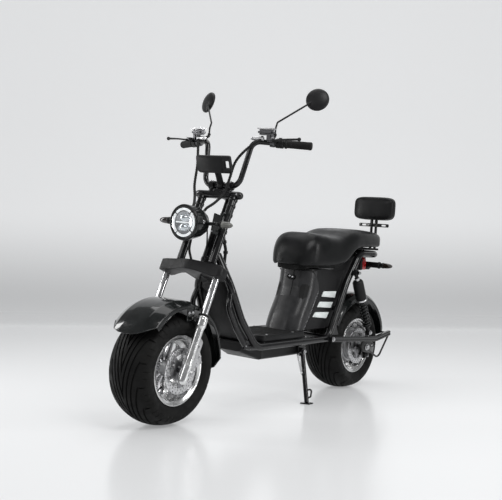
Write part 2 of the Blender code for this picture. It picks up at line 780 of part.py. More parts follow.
def build_swingarm(root, steel):
    """The rear arms, joined ahead of the wheel, with their drop-outs, axle and guard loops."""
    shapes = []
    cross_y = 0.398
    shapes.append(cylinder((-SWING_X, cross_y, 0.284), (SWING_X, cross_y, 0.284), 0.0115, 14))
    for side in (-1, 1):
        corners = ((SWING_X, SWING_PIVOT[0] - 0.012, SWING_PIVOT[1]), (SWING_X, 0.765, 0.262), (SWING_X, 0.905, 0.284))
        arm = bent(corners, (0.08,))
        line = arm if side > 0 else mirrored(arm)
        flat = SWING_THICKNESS / SWING_HEIGHT / math.cos(math.pi / 10)
        shapes.append(pipe(line, SWING_HEIGHT / 2, 10, flat))
        plate = [(0.640, 0.268), (0.625, 0.235), (0.640, 0.205), (0.745, 0.192), (0.750, 0.222), (0.715, 0.268)]
        rings = [[Vector((side * x, y, z)) for y, z in plate] for x in (0.143, 0.151)]
        shapes.append(skin(rings))
        loop = bent(((SWING_X, 0.898, 0.286), (SWING_X, 0.790, 0.150), (SWING_X - 0.003, 0.690, 0.212)), (0.05,))
        shapes.append(pipe(loop if side > 0 else mirrored(loop), 0.005, 8))
        hub = Vector((side * 0.128, REAR_AXLE.y, REAR_AXLE.z))
        shapes.append(cylinder(hub, hub + side * 0.034 * X_AXIS, 0.014, 6))
        foot = SHOCK_FOOT
        ear = block((0.005, 0.030, 0.040), (side * (SWING_X - 0.0095), foot[0], foot[1] - 0.008), 0.002)
        pin = Vector((side * (SWING_X - 0.0095), *foot))
        shapes += [ear, cylinder(pin, pin + side * 0.020 * X_AXIS, 0.0075, 12)]
    ends = REAR_AXLE - 0.13 * X_AXIS, REAR_AXLE + 0.13 * X_AXIS
    shapes.append(cylinder(*ends, AXLE_RADIUS))
    return add_node("swingarm", shapes, steel, root)


def build_shocks(root, finish):
    """The twin shocks: an upper cover, a spring drawn as a plain sleeve and an eye at each end."""
    top = Vector((SWING_X, *SHOCK_HEAD))
    low = Vector((SWING_X, *SHOCK_FOOT))
    for side, name in ((1, "shock_left"), (-1, "shock_right")):
        start = Vector((side * top.x, top.y, top.z))
        end = Vector((side * low.x, low.y, low.z))
        along = (end - start).normalized()
        length = (end - start).length
        cover = [(0, 0.030), (0.021, 0.030), (0.027, 0.040), (0.027, 0.150), (0.0285, 0.152), (0.0285, 0.158)]
        spring = [(0.0205, 0.159), (0.0205, length - 0.045), (0.013, length - 0.040), (0, length - 0.040)]
        body = turned(cover + spring, start, along, 14)
        rods = cylinder(start + along * 0.0133, start + along * 0.035, 0.009, 12)
        foot = cylinder(end - along * 0.050, end - along * 0.0125, 0.0062, 10)
        eye_low = Vector((side * (SWING_X + 0.008), start.y, start.z))
        ring = [(0.0155, 0.018), (0.0085, 0.018), (0.0085, 0.0), (0.0155, 0.0)]
        upper_eye = turned(ring, eye_low - side * 0.017 * X_AXIS, side * X_AXIS, 12)
        hole = bore(0.0075, 12)
        lower_ring = [(0.0150, 0.014), (hole, 0.014), (hole, 0.0), (0.0150, 0.0)]
        lower_eye = turned(lower_ring, (side * (SWING_X - 0.007 + GAP), end.y, end.z), side * X_AXIS, 12)
        add_node(name, [body, rods, foot, upper_eye, lower_eye], finish, root)


def build_tail(root, plastic, red, amber):
    """The tail lamp under the frame's rear loop, and the bar that carries the rear signals."""
    hang = block((0.070, 0.022, 0.030), (0, 0.802, TAIL_Z - PIPE_RADIUS - 0.0155), 0.003)
    bar = cylinder((-0.125, 0.808, 0.640), (0.125, 0.808, 0.640), 0.011, 14)
    neck = block((0.050, 0.020, 0.040), (0, 0.806, 0.652), 0.003)
    add_node("tail_bar", [hang, bar, neck], plastic, root)
    lens = block((0.100, 0.056, 0.072), (0, 0.763 - GAP, 0.644), 0.010)
    add_node("tail_lamp", [lens], red, root)
    for side, name in ((1, "rear_signal_left"), (-1, "rear_signal_right")):
        signal(name, Vector((side * (0.125 + GAP), 0.808, 0.640)), side, amber, root)


def signal(name, start, side, finish, parent):
    """A bullet-shaped turn signal that points sideways."""
    profile = [(0, 0), (0.010, 0), (0.0155, 0.012), (0.0155, 0.045), (0.011, 0.062), (0, 0.070)]
    add_node(name, [turned(profile, start, side * X_AXIS, 12)], finish, parent)


def build_rear_wheel(wheel_pivot, tyre_black, alloy, disc_steel):
    """The rear wheel: tyre, rim with the motor in its hub, and brake disc."""
    add_node("rear_tyre", [tyre(REAR_AXLE)], tyre_black, wheel_pivot, REAR_AXLE)
    add_node("rear_rim", wheel(REAR_AXLE, MOTOR_RADIUS, MOTOR_WIDTH), alloy, wheel_pivot, REAR_AXLE)
    add_node("rear_disc", disc(REAR_AXLE), disc_steel, wheel_pivot, REAR_AXLE)


def build_front_wheel(wheel_pivot, tyre_black, alloy, disc_steel):
    """The front wheel: tyre, rim and brake disc."""
    add_node("front_tyre", [tyre(FRONT_AXLE)], tyre_black, wheel_pivot, FRONT_AXLE)
    add_node("front_rim", wheel(FRONT_AXLE, HUB_RADIUS, 0.150), alloy, wheel_pivot, FRONT_AXLE)
    add_node("front_disc", disc(FRONT_AXLE), disc_steel, wheel_pivot, FRONT_AXLE)


def build_fork(steer, chrome, alloy, black, steel):
    """The fork: sliders, bright tubes, the bowed lower clamp with its stem, and the upper yoke."""
    for side, name in ((1, "left"), (-1, "right")):
        high = leg_point(side * FORK_X, SLIDER_TOP_Z)
        low = leg_point(side * FORK_X, SLIDER_LOW_Z)
        length = (high - low).length
        profile = [(0, 0), (0.014, 0), (SLIDER_RADIUS + 0.001, 0.010), (SLIDER_RADIUS + 0.001, 0.055), (SLIDER_RADIUS - 0.001, 0.075)]
        profile += [(SLIDER_RADIUS - 0.001, length - 0.035), (SLIDER_COLLAR, length - 0.028), (SLIDER_COLLAR, length), (0, length)]
        body = turned(profile, low, STEER_AXIS, 16)
        boss_start = Vector((side * (FORK_X - 0.020), FRONT_AXLE.y, FRONT_AXLE.z))
        boss = cylinder(boss_start, boss_start + side * 0.041 * X_AXIS, SLIDER_BOSS, 12)
        add_node(f"fork_slider_{name}", [body, boss], alloy, steer, STEER_BASE)
        start = high + STEER_AXIS * GAP
        end = raked(side * FORK_X, LEG_FORWARD, CLAMP_BORE_UP, CLAMP_Z)
        add_node(f"fork_tube_{name}", [cylinder(start, end, FORK_TUBE_RADIUS, 16)], chrome, steer, STEER_BASE)
    inner = FORK_X - 0.020 - GAP
    ends = FRONT_AXLE - inner * X_AXIS, FRONT_AXLE + inner * X_AXIS
    add_node("front_axle", [cylinder(*ends, AXLE_RADIUS)], steel, steer, STEER_BASE)
    build_lower_clamp(steer, black)
    build_upper_yoke(steer, black)


def build_lower_clamp(steer, black):
    """The bowed lower clamp, lofted across the fork, bored for the fork tubes, with the steering stem."""
    sections = (
        (0.162, 0.092, 0.056, -0.018, 0.014),
        (0.150, 0.104, 0.042, -0.030, 0.021),
        (0.110, 0.106, 0.034, -0.028, CLAMP_HIGH),
        (0.060, 0.113, -0.020, -0.020, CLAMP_HIGH),
        (0.022, 0.122, -0.028, -0.020, CLAMP_HIGH),
    )
    rows = [*sections, *((-x, *rest) for x, *rest in reversed(sections))]
    rings = []
    for x, front, back, low, high in rows:
        cut = 0.006
        line = ((front, low), (front, high - cut), (front - cut, high), (back + cut, high), (back, high - cut), (back, low))
        rings.append([raked(x, forward, up, CLAMP_Z) for forward, up in line])
    stem = [cylinder(axis_point(CLAMP_Z), axis_point(UPPER_TOP_Z - 0.006), STEM_RADIUS, 16)]
    for z in (HEAD_LOW_Z + 0.003, HEAD_TOP_Z - 0.003 - RACE_WIDTH):
        stem.append(cylinder(axis_point(z), axis_point(z) + RACE_WIDTH * STEER_AXIS, RACE_RADIUS, 18))
    bores = []
    for side in (-1, 1):
        foot = leg_point(side * FORK_X, SLIDER_TOP_Z)
        head = raked(side * FORK_X, LEG_FORWARD, CLAMP_BORE_UP + GAP, CLAMP_Z)
        bores.append(cylinder(foot, head, FORK_TUBE_RADIUS + GAP, 16))
    add_node("lower_clamp", [skin(rings), *stem], black, steer, STEER_BASE, cuts=bores)


def build_upper_yoke(steer, black):
    """The upper tubes, the cross bar with its rounded ends, the bridge to the stem and the bar clamps."""
    shapes = []
    for side in (-1, 1):
        foot = raked(side * UPPER_X, LEG_FORWARD, CLAMP_HIGH + GAP, CLAMP_Z)
        head = leg_point(side * UPPER_X, UPPER_TOP_Z)
        shapes.append(cylinder(foot, head, UPPER_RADIUS, 12))
        clamp_foot = leg_point(side * 0.045, UPPER_TOP_Z)
        clamp_head = Vector((side * 0.045, BAR_Y, BAR_CENTRE_Z))
        shapes.append(cylinder(clamp_foot, clamp_head, 0.012, 12))
        shapes.append(cylinder(clamp_head - 0.011 * X_AXIS, clamp_head + 0.011 * X_AXIS, 0.0185, 12))
    bar = leg_point(0, UPPER_TOP_Z)
    half = UPPER_X + 0.040
    profile = [(0, -half), (0.010, 0.004 - half), (0.0165, 0.018 - half), (0.0165, half - 0.018), (0.010, half - 0.004), (0, half)]
    shapes.append(turned(profile, bar, X_AXIS, 12))
    slant = Matrix.Rotation(-RAKE, 3, "X")
    middle = (axis_point(UPPER_TOP_Z) + leg_point(0, UPPER_TOP_Z)) / 2
    bridge = block((0.050, 0.105, 0.012), middle, 0.002, slant)
    shapes.append(bridge)
    bores = [cylinder(axis_point(0.80), axis_point(UPPER_TOP_Z - 0.006) + STEER_AXIS * GAP, STEM_RADIUS + GAP, 16)]
    bar_hole = handlebar_line()
    bores.append(pipe(bar_hole, BAR_RADIUS + GAP, 10))
    add_node("upper_yoke", shapes, black, steer, STEER_BASE, cuts=bores)


def handlebar_line():
    """The handlebar's centre line from the right end to the left end."""
    left = [(BAR_FOOT_X, BAR_Y, BAR_CENTRE_Z), BAR_ELBOW, BAR_END]
    corners = [(-x, y, z) for x, y, z in reversed(left)] + left
    return bent(corners, (0.040, 0.045, 0.045, 0.040))


def bar_end_point(distance, side):
    """A point on the handlebar's outer stretch, this far in from its end."""
    end = Vector(BAR_END)
    inward = (Vector(BAR_ELBOW) - end).normalized()
    point = end + inward * distance
    return Vector((side * point.x, point.y, point.z))


def build_controls(steer, black, grey, rubber, mirror_black):
    """The handlebar, its grips, brake controls, levers and mirrors."""
    line = handlebar_line()
    tip = 0.004
    line[0] = bar_end_point(tip + GAP, -1)
    line[-1] = bar_end_point(tip + GAP, 1)
    add_node("handlebar", [pipe(line, BAR_RADIUS, 10)], black, steer, STEER_BASE)
    for side, name in ((1, "left"), (-1, "right")):
        end = bar_end_point(0, side)
        out = (end - bar_end_point(GRIP_LENGTH, side)).normalized()
        start = bar_end_point(GRIP_LENGTH, side)
        hole = bore(BAR_RADIUS, 14)
        ring = [(0, GRIP_LENGTH - tip), (hole, GRIP_LENGTH - tip), (hole, 0), (GRIP_RADIUS + 0.003, 0)]
        ring += [(GRIP_RADIUS + 0.003, 0.006), (GRIP_RADIUS, 0.008), (GRIP_RADIUS, GRIP_LENGTH - 0.004)]
        ring += [(GRIP_RADIUS - 0.004, GRIP_LENGTH), (0, GRIP_LENGTH)]
        add_node(f"grip_{name}", [turned(ring, start, out, 14)], rubber, steer, STEER_BASE)
        build_brake(name, side, out, steer, grey, black)
        build_mirror(name, side, steer, mirror_black)


def build_brake(name, side, out, steer, grey, black):
    """One brake control: its clamp on the bar, the fluid reservoir, the switch housing and the lever."""
    start = bar_end_point(GRIP_LENGTH + 0.062, side)
    hole = bore(BAR_RADIUS, 12)
    clamp = cylinder(start, start + out * 0.020, 0.0175, 12)
    tilt = Matrix.Rotation(math.radians(side * 14), 3, "Z")
    reservoir_middle = start + Vector((side * -0.006, -0.030, 0.036))
    reservoir = block((0.062, 0.038, 0.026), reservoir_middle, 0.005, tilt)
    neck = block((0.022, 0.030, 0.030), start + Vector((side * 0.008, -0.020, 0.014)), 0.003, tilt)
    hole_cut = cylinder(start - out * 0.05, start + out * 0.09, hole, 12)
    perch = add_node(f"brake_{name}", [clamp, reservoir, neck], grey, steer, STEER_BASE, cuts=[hole_cut])
    switch = cylinder(start + out * 0.0223, start + out * 0.0583, 0.020, 12)
    pivot = start + Vector((side * 0.041, -0.044, 0.004))
    ball = Vector((side * 0.345, -0.347, 1.160))
    lever = pipe(smooth_route((pivot, pivot.lerp(ball, 0.5) + Vector((0, -0.008, 0)), ball), 4), 0.0055, 8)
    knob = turned([(0, -0.008), (0.008, 0), (0, 0.008)], ball, out, 10)
    arm = block((0.014, 0.056, 0.012), start + Vector((side * 0.039, -0.022, 0.004)), 0.002, tilt)
    cut = cylinder(start - out * 0.05, start + out * 0.09, hole, 12)
    add_node(f"lever_{name}", [switch, arm, lever, knob], black, steer, STEER_BASE, cuts=[cut])
    return perch


def build_mirror(name, side, steer, black):
    """One round mirror on its thin stem, which stands on the reservoir's perch."""
    start = bar_end_point(GRIP_LENGTH + 0.062, side) + Vector((side * -0.002, -0.030, 0.049 + GAP))
    bend = Vector((side * 0.176, -0.262, 1.240))
    centre = Vector((side * 0.293, -0.151, 1.350))
    face = Vector((side * -0.10, 1, -0.05)).normalized()
    stem = pipe(bent((start, start + 0.014 * Z_AXIS, bend, centre - face * 0.004), (0.008, 0.012)), 0.004, 8)
    dish = [(0, -0.016), (0.030, -0.012), (MIRROR_RADIUS, 0.0), (MIRROR_RADIUS, 0.005), (0, 0.005)]
    add_node(f"mirror_{name}", [stem, turned(dish, centre, face, 24)], black, steer, STEER_BASE)


def build_front_lamps(steer, black, glass, amber):
    """The headlight's bucket and lens, the front signals and the cross bracket that carries them."""
    aim = Vector((0, -1, -0.03)).normalized()
    face = Vector((0, -0.608, 0.798))
    back = [(0, -0.125), (0.030, -0.122), (0.052, -0.100), (0.066, -0.060), (0.070, -0.012), (0.073, -0.008)]
    rim = [(0.073, 0.0), (0.068, 0.0), (0.066, -0.010), (0, -0.010)]
    bucket = turned(back + rim, face, aim, 22)
    stubs = []
    saddles = []
    for side in (-1, 1):
        stubs.append(cylinder((side * 0.030, -0.535, 0.800), (side * 0.121, -0.535, 0.800), 0.008, 12))
        bracket = leg_point(side * UPPER_X, 0.800)
        stubs.append(block((0.016, 0.090, 0.030), bracket + Vector((0, -0.045, 0)), 0.002))
        tube = leg_point(side * UPPER_X, 0.740), leg_point(side * UPPER_X, 0.860)
        saddles.append(cylinder(*tube, UPPER_RADIUS + GAP, 12))
    add_node("headlight", [bucket, *stubs], black, steer, STEER_BASE, cuts=saddles)
    lens = [(0, -0.0097), (0.0655, -0.0097), (0.0655, -0.002), (0.050, 0.004), (0, 0.007)]
    add_node("headlight_lens", [turned(lens, face, aim, 22)], glass, steer, STEER_BASE)
    for side, name in ((1, "front_signal_left"), (-1, "front_signal_right")):
        signal(name, Vector((side * (0.121 + GAP), -0.535, 0.800)), side, amber, steer)


def build_display(steer, black):
    """The instrument: a rounded plate that faces the rider, on an arm from the handlebar."""
    tilt = Matrix.Rotation(math.radians(18), 3, "X")
    plate = block((0.158, 0.014, 0.074), (0, -0.440, 1.045), 0.006, tilt)
    arm = cylinder((0, BAR_Y - 0.010, BAR_CENTRE_Z + 0.010), (0, -0.436, 1.035), 0.009, 12)
    hole = bore(BAR_RADIUS, 14)
    ring = [(0.0165, 0.012), (hole, 0.012), (hole, -0.012), (0.0165, -0.012)]
    clamp = turned(ring, (0, BAR_Y, BAR_CENTRE_Z), X_AXIS, 14)
    window = block((0.020, 0.05, 0.026), (0.058, -0.440, 1.045), 0, tilt)
    add_node("display", [plate, arm, clamp], black, steer, STEER_BASE, cuts=[window])


def build_fenders(root, steer, gloss):
    """The front fender with its mud flap, and the rear fender with the stays that hold it."""
    half = FENDER_HALF_WIDTH
    front = (
        (-96, half - 0.012, 0.250, 0.262),
        (-70, half - 0.010, 0.248, 0.264),
        (-48, half - 0.002, 0.240, 0.271),
        (-25, half, FENDER_SKIRT_RADIUS, FENDER_RADIUS),
        (-5, half, FENDER_SKIRT_RADIUS, FENDER_RADIUS),
        (15, half, FENDER_SKIRT_RADIUS, FENDER_RADIUS),
        (32, half, FENDER_SKIRT_RADIUS, FENDER_RADIUS),
        (45, half - 0.002, 0.236, FENDER_RADIUS - 0.001),
        (56, half - 0.014, 0.246, FENDER_RADIUS - 0.004),
    )
    sections = [(-angle, *rest) for angle, *rest in front]
    shapes = [fender(FRONT_AXLE, sections)]
    cuts = []
    for side in (-1, 1):
        shapes.append(block((0.0022, 0.044, 0.060), (side * (half - 0.0015), -0.648, 0.450)))
        shapes.append(block((0.027, 0.044, 0.014), (side * 0.1175, -0.636, 0.432), 0.002))
        leg = leg_point(side * FORK_X, 0.380), leg_point(side * FORK_X, 0.470)
        cuts.append(cylinder(*leg, bore(SLIDER_COLLAR, 16), 16))
    add_node("front_fender", shapes, gloss, steer, STEER_BASE, cuts=cuts)
    rear = []
    for angle in (-62, -45, -28, -10, 8, 26, 44, 60, 76):
        rear.append((angle, half, 0.236, FENDER_RADIUS))
    shapes = [fender(REAR_AXLE, rear)]
    inner = SWING_X - SWING_THICKNESS / 2 - GAP
    for side in (-1, 1):
        start = Vector((side * (half - 0.003), 0.898, 0.284))
        shapes.append(cylinder(start, (side * inner, start.y, start.z), 0.005, 10))
    add_node("rear_fender", shapes, gloss, root)


def build_cables(steer, sleeve):
    """The wrapped cable bundles, straight out from under both reservoirs and into the headlight's back."""
    left = (
        (0.168, -0.352, 1.1721), (0.168, -0.352, 1.160), (0.146, -0.376, 1.138), (0.112, -0.398, 1.100),
        (0.083, -0.410, 1.055), (0.066, -0.418, 0.985), (0.058, -0.434, 0.930), (0.048, -0.474, 0.889),
        (0.0354, -0.5127, 0.8619), (0.0281, -0.5178, 0.8493),
    )
    right = (
        (-0.168, -0.352, 1.1721), (-0.168, -0.352, 1.160), (-0.150, -0.374, 1.136), (-0.134, -0.390, 1.100),
        (-0.122, -0.402, 1.040), (-0.110, -0.425, 0.960), (-0.082, -0.452, 0.915), (-0.054, -0.485, 0.884),
        (-0.0354, -0.5127, 0.8619), (-0.0281, -0.5178, 0.8493),
    )
    for name, points in (("cable_left", left), ("cable_right", right)):
        ends = Vector(points[0]), Vector(points[-1])
        add_cable(name, [ends[0], *smooth_route(points[1:-1], 3), ends[1]], steer, sleeve)


def add_cable(name, points, parent, sleeve):
    """A round cable along a line of points, as a curve with filled ends."""
    curve = bpy.data.curves.new(name, "CURVE")
    curve.dimensions = "3D"
    curve.bevel_depth = CABLE_RADIUS
    curve.bevel_resolution = 2
    curve.use_fill_caps = True
    line = curve.splines.new("POLY")
    line.points.add(len(points) - 1)
    for place, point in zip(line.points, points):
        place.co = (*(point - STEER_BASE), 1)
    curve.materials.append(sleeve)
    obj = bpy.data.objects.new(name, curve)
    bpy.context.scene.collection.objects.link(obj)
    obj.parent = parent
    return obj


def build_stand(stand, steel):
    """The side stand: an eye on its pin, a splayed leg, a loop for the rider's toe and the foot."""
    eye = Vector(STAND_PIVOT)
    ring = [(0.016, 0.008), (0.0068, 0.008), (0.0068, -0.008), (0.016, -0.008)]
    foot_z = floor_height(STAND_FOOT[0])
    foot = Vector((*STAND_FOOT, foot_z + FOOT_SIZE[2]))
    along = (foot - eye).normalized()
    shapes = [turned(ring, eye, X_AXIS, 18)]
    shapes.append(pipe([eye + along * 0.012, eye + along * 0.05, foot - along * 0.001], STAND_RADIUS, 12))
    level = Matrix.Rotation(-LEAN, 3, "Y")
    up = level @ Z_AXIS
    sole = Vector((*STAND_FOOT, foot_z)) + up * FOOT_SIZE[2] / 2
    shapes.append(block(FOOT_SIZE, sole, 0, level))
    hook = eye.lerp(foot, 0.80)
    reach = Vector((0.030, 0.004, 0.010))
    toe = bent((hook, hook + reach, hook + reach * 0.9 - Vector((0, 0, 0.035)), hook + along * 0.036), (0.008, 0.008))
    shapes.append(pipe(toe, 0.004, 8))
    add_node("side_stand", shapes, steel, stand, STAND_PIVOT)


def floor_height(x):
    """The height of the floor under the leaning scooter at this x, in its own frame."""
    return (x * math.sin(LEAN) - park_height()) / math.cos(LEAN)


def park_height():
    """How far the leaning scooter's origin is lifted so that its tyres rest on the floor."""
    flat = math.cos(math.pi / TYRE_SIDES)
    reach = 0
    for radius, x in tyre_profile():
        reach = max(reach, x * math.sin(LEAN) + radius * flat * math.cos(LEAN))
    return reach - TYRE_RADIUS * math.cos(LEAN)


def build_calipers(root, steer, alloy, black):
    """The brake calipers: the front one on a plate behind the left fork leg, the rear one on the drop-out."""
    body, slot = caliper(FRONT_AXLE, math.radians(58))
    middle = leg_point(0.117, 0.287) + Vector((0, 0.040, 0))
    plate = block((0.010, 0.045, 0.150), middle, 0.003, Matrix.Rotation(-RAKE, 3, "X"))
    low = leg_point(FORK_X, SLIDER_LOW_Z)
    saddles = [cylinder(low, low + 0.250 * STEER_AXIS, bore(SLIDER_RADIUS - 0.001, 16), 16)]
    saddles.append(cylinder(low, low + 0.075 * STEER_AXIS, bore(SLIDER_RADIUS + 0.001, 16), 16))
    boss = cylinder(FRONT_AXLE, FRONT_AXLE + 0.16 * X_AXIS, bore(SLIDER_BOSS, 12), 12)
    add_node("front_caliper", [body, plate], alloy, steer, STEER_BASE, cuts=[slot, *saddles, boss])
    body, slot = caliper(REAR_AXLE, math.radians(110))
    foot = SWING_X - 0.007 - GAP
    arm = block((foot - 0.105, 0.030, 0.022), ((foot + 0.105) / 2, 0.730, 0.205), 0)
    add_node("rear_caliper", [body, arm], black, root, cuts=[slot])


def main():
    """Builds every piece and parks the scooter on its stand."""
    clear_scene()
    gloss = material("gloss black", (0.012, 0.012, 0.013), 0.18, 0.0)
    black = material("satin black", (0.018, 0.018, 0.019), 0.45, 0.0)
    steel = material("black steel", (0.020, 0.020, 0.022), 0.38, 0.6)
    chrome = material("chrome", (0.75, 0.75, 0.76), 0.12, 1.0)
    alloy = material("polished alloy", (0.70, 0.70, 0.71), 0.28, 1.0)
    rubber = material("rubber", (0.020, 0.020, 0.020), 0.85, 0.0)
    leather = material("black leather", (0.016, 0.016, 0.016), 0.55, 0.0)
    glass = material("clear lens", (0.85, 0.87, 0.90), 0.05, 0.0)
    red = material("red lens", (0.55, 0.02, 0.02), 0.15, 0.0)
    amber = material("signal lens", (0.80, 0.55, 0.30), 0.15, 0.0)
    disc_steel = material("disc steel", (0.55, 0.55, 0.56), 0.30, 1.0)
    grey = material("grey casting", (0.45, 0.45, 0.46), 0.35, 0.9)

    parked = add_empty("parked", None, (0, 0, 0), Quaternion((0, 1, 0), LEAN))
    parked.location = (SHIFT_X, SHIFT_Y, park_height())
    steer = add_empty("steering", parked, STEER_BASE, Quaternion(STEER_AXIS, PARKED_STEER))
    front_wheel = add_empty("front_wheel", steer, FRONT_AXLE)
    rear_wheel = add_empty("rear_wheel", parked, REAR_AXLE)
    stand = add_empty("stand", parked, STAND_PIVOT)
    seat = add_empty("seat", parked, (0, *SEAT_HINGE))

    build_frame(parked, steel)
    build_deck(parked, black)
    build_tray(parked, black)
    build_pod(parked, black, gloss)
    build_seat(seat, leather, black)
    build_backrest(parked, steel, leather)
    build_swingarm(parked, steel)
    build_shocks(parked, black)
    build_tail(parked, black, red, amber)
    build_rear_wheel(rear_wheel, rubber, alloy, disc_steel)
    build_front_wheel(front_wheel, rubber, alloy, disc_steel)
    build_fork(steer, chrome, alloy, black, steel)
    build_controls(steer, black, grey, rubber, black)
    build_front_lamps(steer, black, glass, amber)
    build_display(steer, black)
    build_fenders(parked, steer, gloss)
    build_cables(steer, rubber)
    build_stand(stand, steel)
    build_calipers(parked, steer, alloy, black)


main()
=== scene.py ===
"""The looks of an electric scooter parked on its side stand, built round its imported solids.

Pieces are drawn as if the scooter stood upright and straight ahead: X to the rider's left, Y to the
rear, Z up, in metres. piece() then puts each of them where its body is parked. A shape is a pair: an
array of points and a list of faces.
"""

import math

import bmesh
import bpy
import numpy as np
from mathutils import Matrix, Vector


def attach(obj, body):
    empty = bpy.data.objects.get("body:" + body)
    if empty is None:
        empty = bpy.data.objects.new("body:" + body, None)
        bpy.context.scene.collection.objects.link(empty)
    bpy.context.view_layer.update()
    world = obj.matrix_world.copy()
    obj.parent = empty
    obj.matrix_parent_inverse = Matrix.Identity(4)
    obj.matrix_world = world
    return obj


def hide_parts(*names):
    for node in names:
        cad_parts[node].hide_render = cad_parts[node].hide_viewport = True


# Sizes shared with the solids
HALF_BASE = 0.6735
TYRE_RADIUS = 0.225
CROWN_RADIUS = 0.17
RIM_RADIUS = 0.1384
RIM_WIDTH = 0.176
RIM_FLANGE = 0.0125
HUB_RADIUS = 0.034
MOTOR_RADIUS = 0.088
DISC_RADIUS = 0.090
DISC_X = 0.096
SPOKE_PAIRS = 6
SPOKE_SPREAD = math.radians(14)
SPOKE_PHASE = math.radians(-20)
RAKE = math.radians(22.8)
TRAIL_OFFSET = 0.065
PARKED_STEER = math.radians(1.9)
FORK_X = 0.129
FORK_LEAD = 0.079
UPPER_X = 0.083
SLIDER_TOP_Z = 0.438
SLIDER_LOW_Z = 0.188
CLAMP_Z = 0.593
UPPER_TOP_Z = 0.922
HEAD_LOW_Z = 0.640
HEAD_TOP_Z = 0.785
BAR_RADIUS = 0.0115
BAR_CENTRE_Z = 0.960
BAR_Y = -0.381
BAR_FOOT_X = 0.088
BAR_ELBOW = (0.118, -0.345, 1.152)
BAR_END = (0.345, -0.246, 1.144)
GRIP_LENGTH = 0.112
PIPE_RADIUS = 0.017
RAIL_X = 0.120
RAIL_Z = 0.286
DOWN_X = 0.105
TAIL_Z = 0.697
TAIL_REAR_Y = 0.800
SWING_X = 0.150
SWING_PIVOT = (0.335, 0.288)
SHOCK_HEAD = (0.517, 0.605)
SHOCK_FOOT = (0.686, 0.299)
POD_HALF_WIDTH = 0.095
POST_Y = 0.930
POST_X = 0.0135
FENDER_RADIUS = 0.274
FENDER_HALF_WIDTH = 0.1065
LEAN = math.radians(4.2)
STAND_PIVOT = (0.1225, 0.131, 0.242)
STAND_FOOT = (0.189, 0.095)
SHIFT = (-0.088, -0.0258, -0.000854)

TAN_RAKE = math.tan(RAKE)
STEER_AXIS = Vector((0, math.sin(RAKE), math.cos(RAKE)))
LEG_FORWARD = FORK_LEAD * math.cos(RAKE)
FORWARD = Vector((0, -math.cos(RAKE), math.sin(RAKE)))
STEER_BASE = Vector((0, -HALF_BASE + TRAIL_OFFSET, TYRE_RADIUS))
FRONT_AXLE = Vector((0, -HALF_BASE, TYRE_RADIUS))
REAR_AXLE = Vector((0, HALF_BASE, TYRE_RADIUS))
X = Vector((1, 0, 0))
Z = Vector((0, 0, 1))
SIDES = ((1, "left"), (-1, "right"))
# Takes a plate drawn in X and Y, and its thickness in Z, to Y, Z and X
ON_EDGE = Matrix(((0, 0, 1, 0), (1, 0, 0, 0), (0, 1, 0, 0), (0, 0, 0, 1)))

PARKED = Matrix.Translation(SHIFT) @ Matrix.Rotation(LEAN, 4, "Y")
TO_BASE = Matrix.Translation(STEER_BASE)
STEERED = PARKED @ TO_BASE @ Matrix.Rotation(PARKED_STEER, 4, STEER_AXIS) @ TO_BASE.inverted()
STEERED_BODIES = ("steering", "front_wheel")

# Sizes of the looks alone
TREAD_PERIODS = 14
TREAD_END = 0.071
GROOVE_WIDTH = 0.0052
GROOVE_DEPTH = 0.0055
NICK_WIDTH = 0.0026
NICK_DEPTH = 0.0028
LEG_TUBE_RADIUS = 0.0143
YOKE_RADIUS = 0.0164
RISER_X = 0.045
CONTROL_INSET = GRIP_LENGTH + 0.062
AXLE_RADIUS = 0.0084
REAR_AXLE_HALF = 0.1282
SWING_CROSS = (0.398, 0.284)
LAMP_BAR = (-0.535, 0.800)
TAIL_BAR = (0.808, 0.640)
TAIL_LAMP_Z = 0.644
LAMP_AIM = Vector((0, -1, -0.03)).normalized()
LAMP_FACE = Vector((0, -0.608, 0.798))
POD_LOW_Z = 0.3335
POD_HIGH_Z = 0.6175
PAD_CENTRE_Z = 0.940
PAD_HALF_WIDTH = 0.118
PAD_HALF_HEIGHT = 0.062

# Sections of half the bowed lower clamp in the steering's own directions: (x, front, back, low, high)
CLAMP_TABLE = (
    (0.1605, 0.086, 0.060, -0.024, 0.000), (0.157, 0.096, 0.050, -0.032, 0.006),
    (0.150, 0.1035, 0.043, -0.038, 0.0100), (0.130, 0.1055, 0.038, -0.040, 0.0125),
    (0.110, 0.1065, 0.042, -0.037, 0.0135), (0.088, 0.1090, 0.052, -0.034, 0.0140),
    (0.060, 0.1135, 0.062, -0.030, 0.0145), (0.036, 0.1185, 0.064, -0.028, 0.0150),
    (0.0320, 0.1190, -0.026, -0.028, 0.0150), (0.0235, 0.1215, -0.028, -0.027, 0.0150),
    (0.0215, 0.1222, -0.028, -0.027, 0.0150),
)

# Middles of the cable bundles from the reservoirs to the headlight's back
CABLES = {
    "left": (
        (0.168, -0.352, 1.1721), (0.168, -0.352, 1.160), (0.146, -0.376, 1.138), (0.112, -0.398, 1.100),
        (0.083, -0.410, 1.055), (0.066, -0.418, 0.985), (0.058, -0.434, 0.930), (0.048, -0.474, 0.889),
        (0.0354, -0.5127, 0.8619), (0.0281, -0.5178, 0.8493),
    ),
    "right": (
        (-0.168, -0.352, 1.1721), (-0.168, -0.352, 1.160), (-0.150, -0.374, 1.136), (-0.134, -0.390, 1.100),
        (-0.122, -0.402, 1.040), (-0.110, -0.425, 0.960), (-0.082, -0.452, 0.915), (-0.054, -0.485, 0.884),
        (-0.0354, -0.5127, 0.8619), (-0.0281, -0.5178, 0.8493),
    ),
}

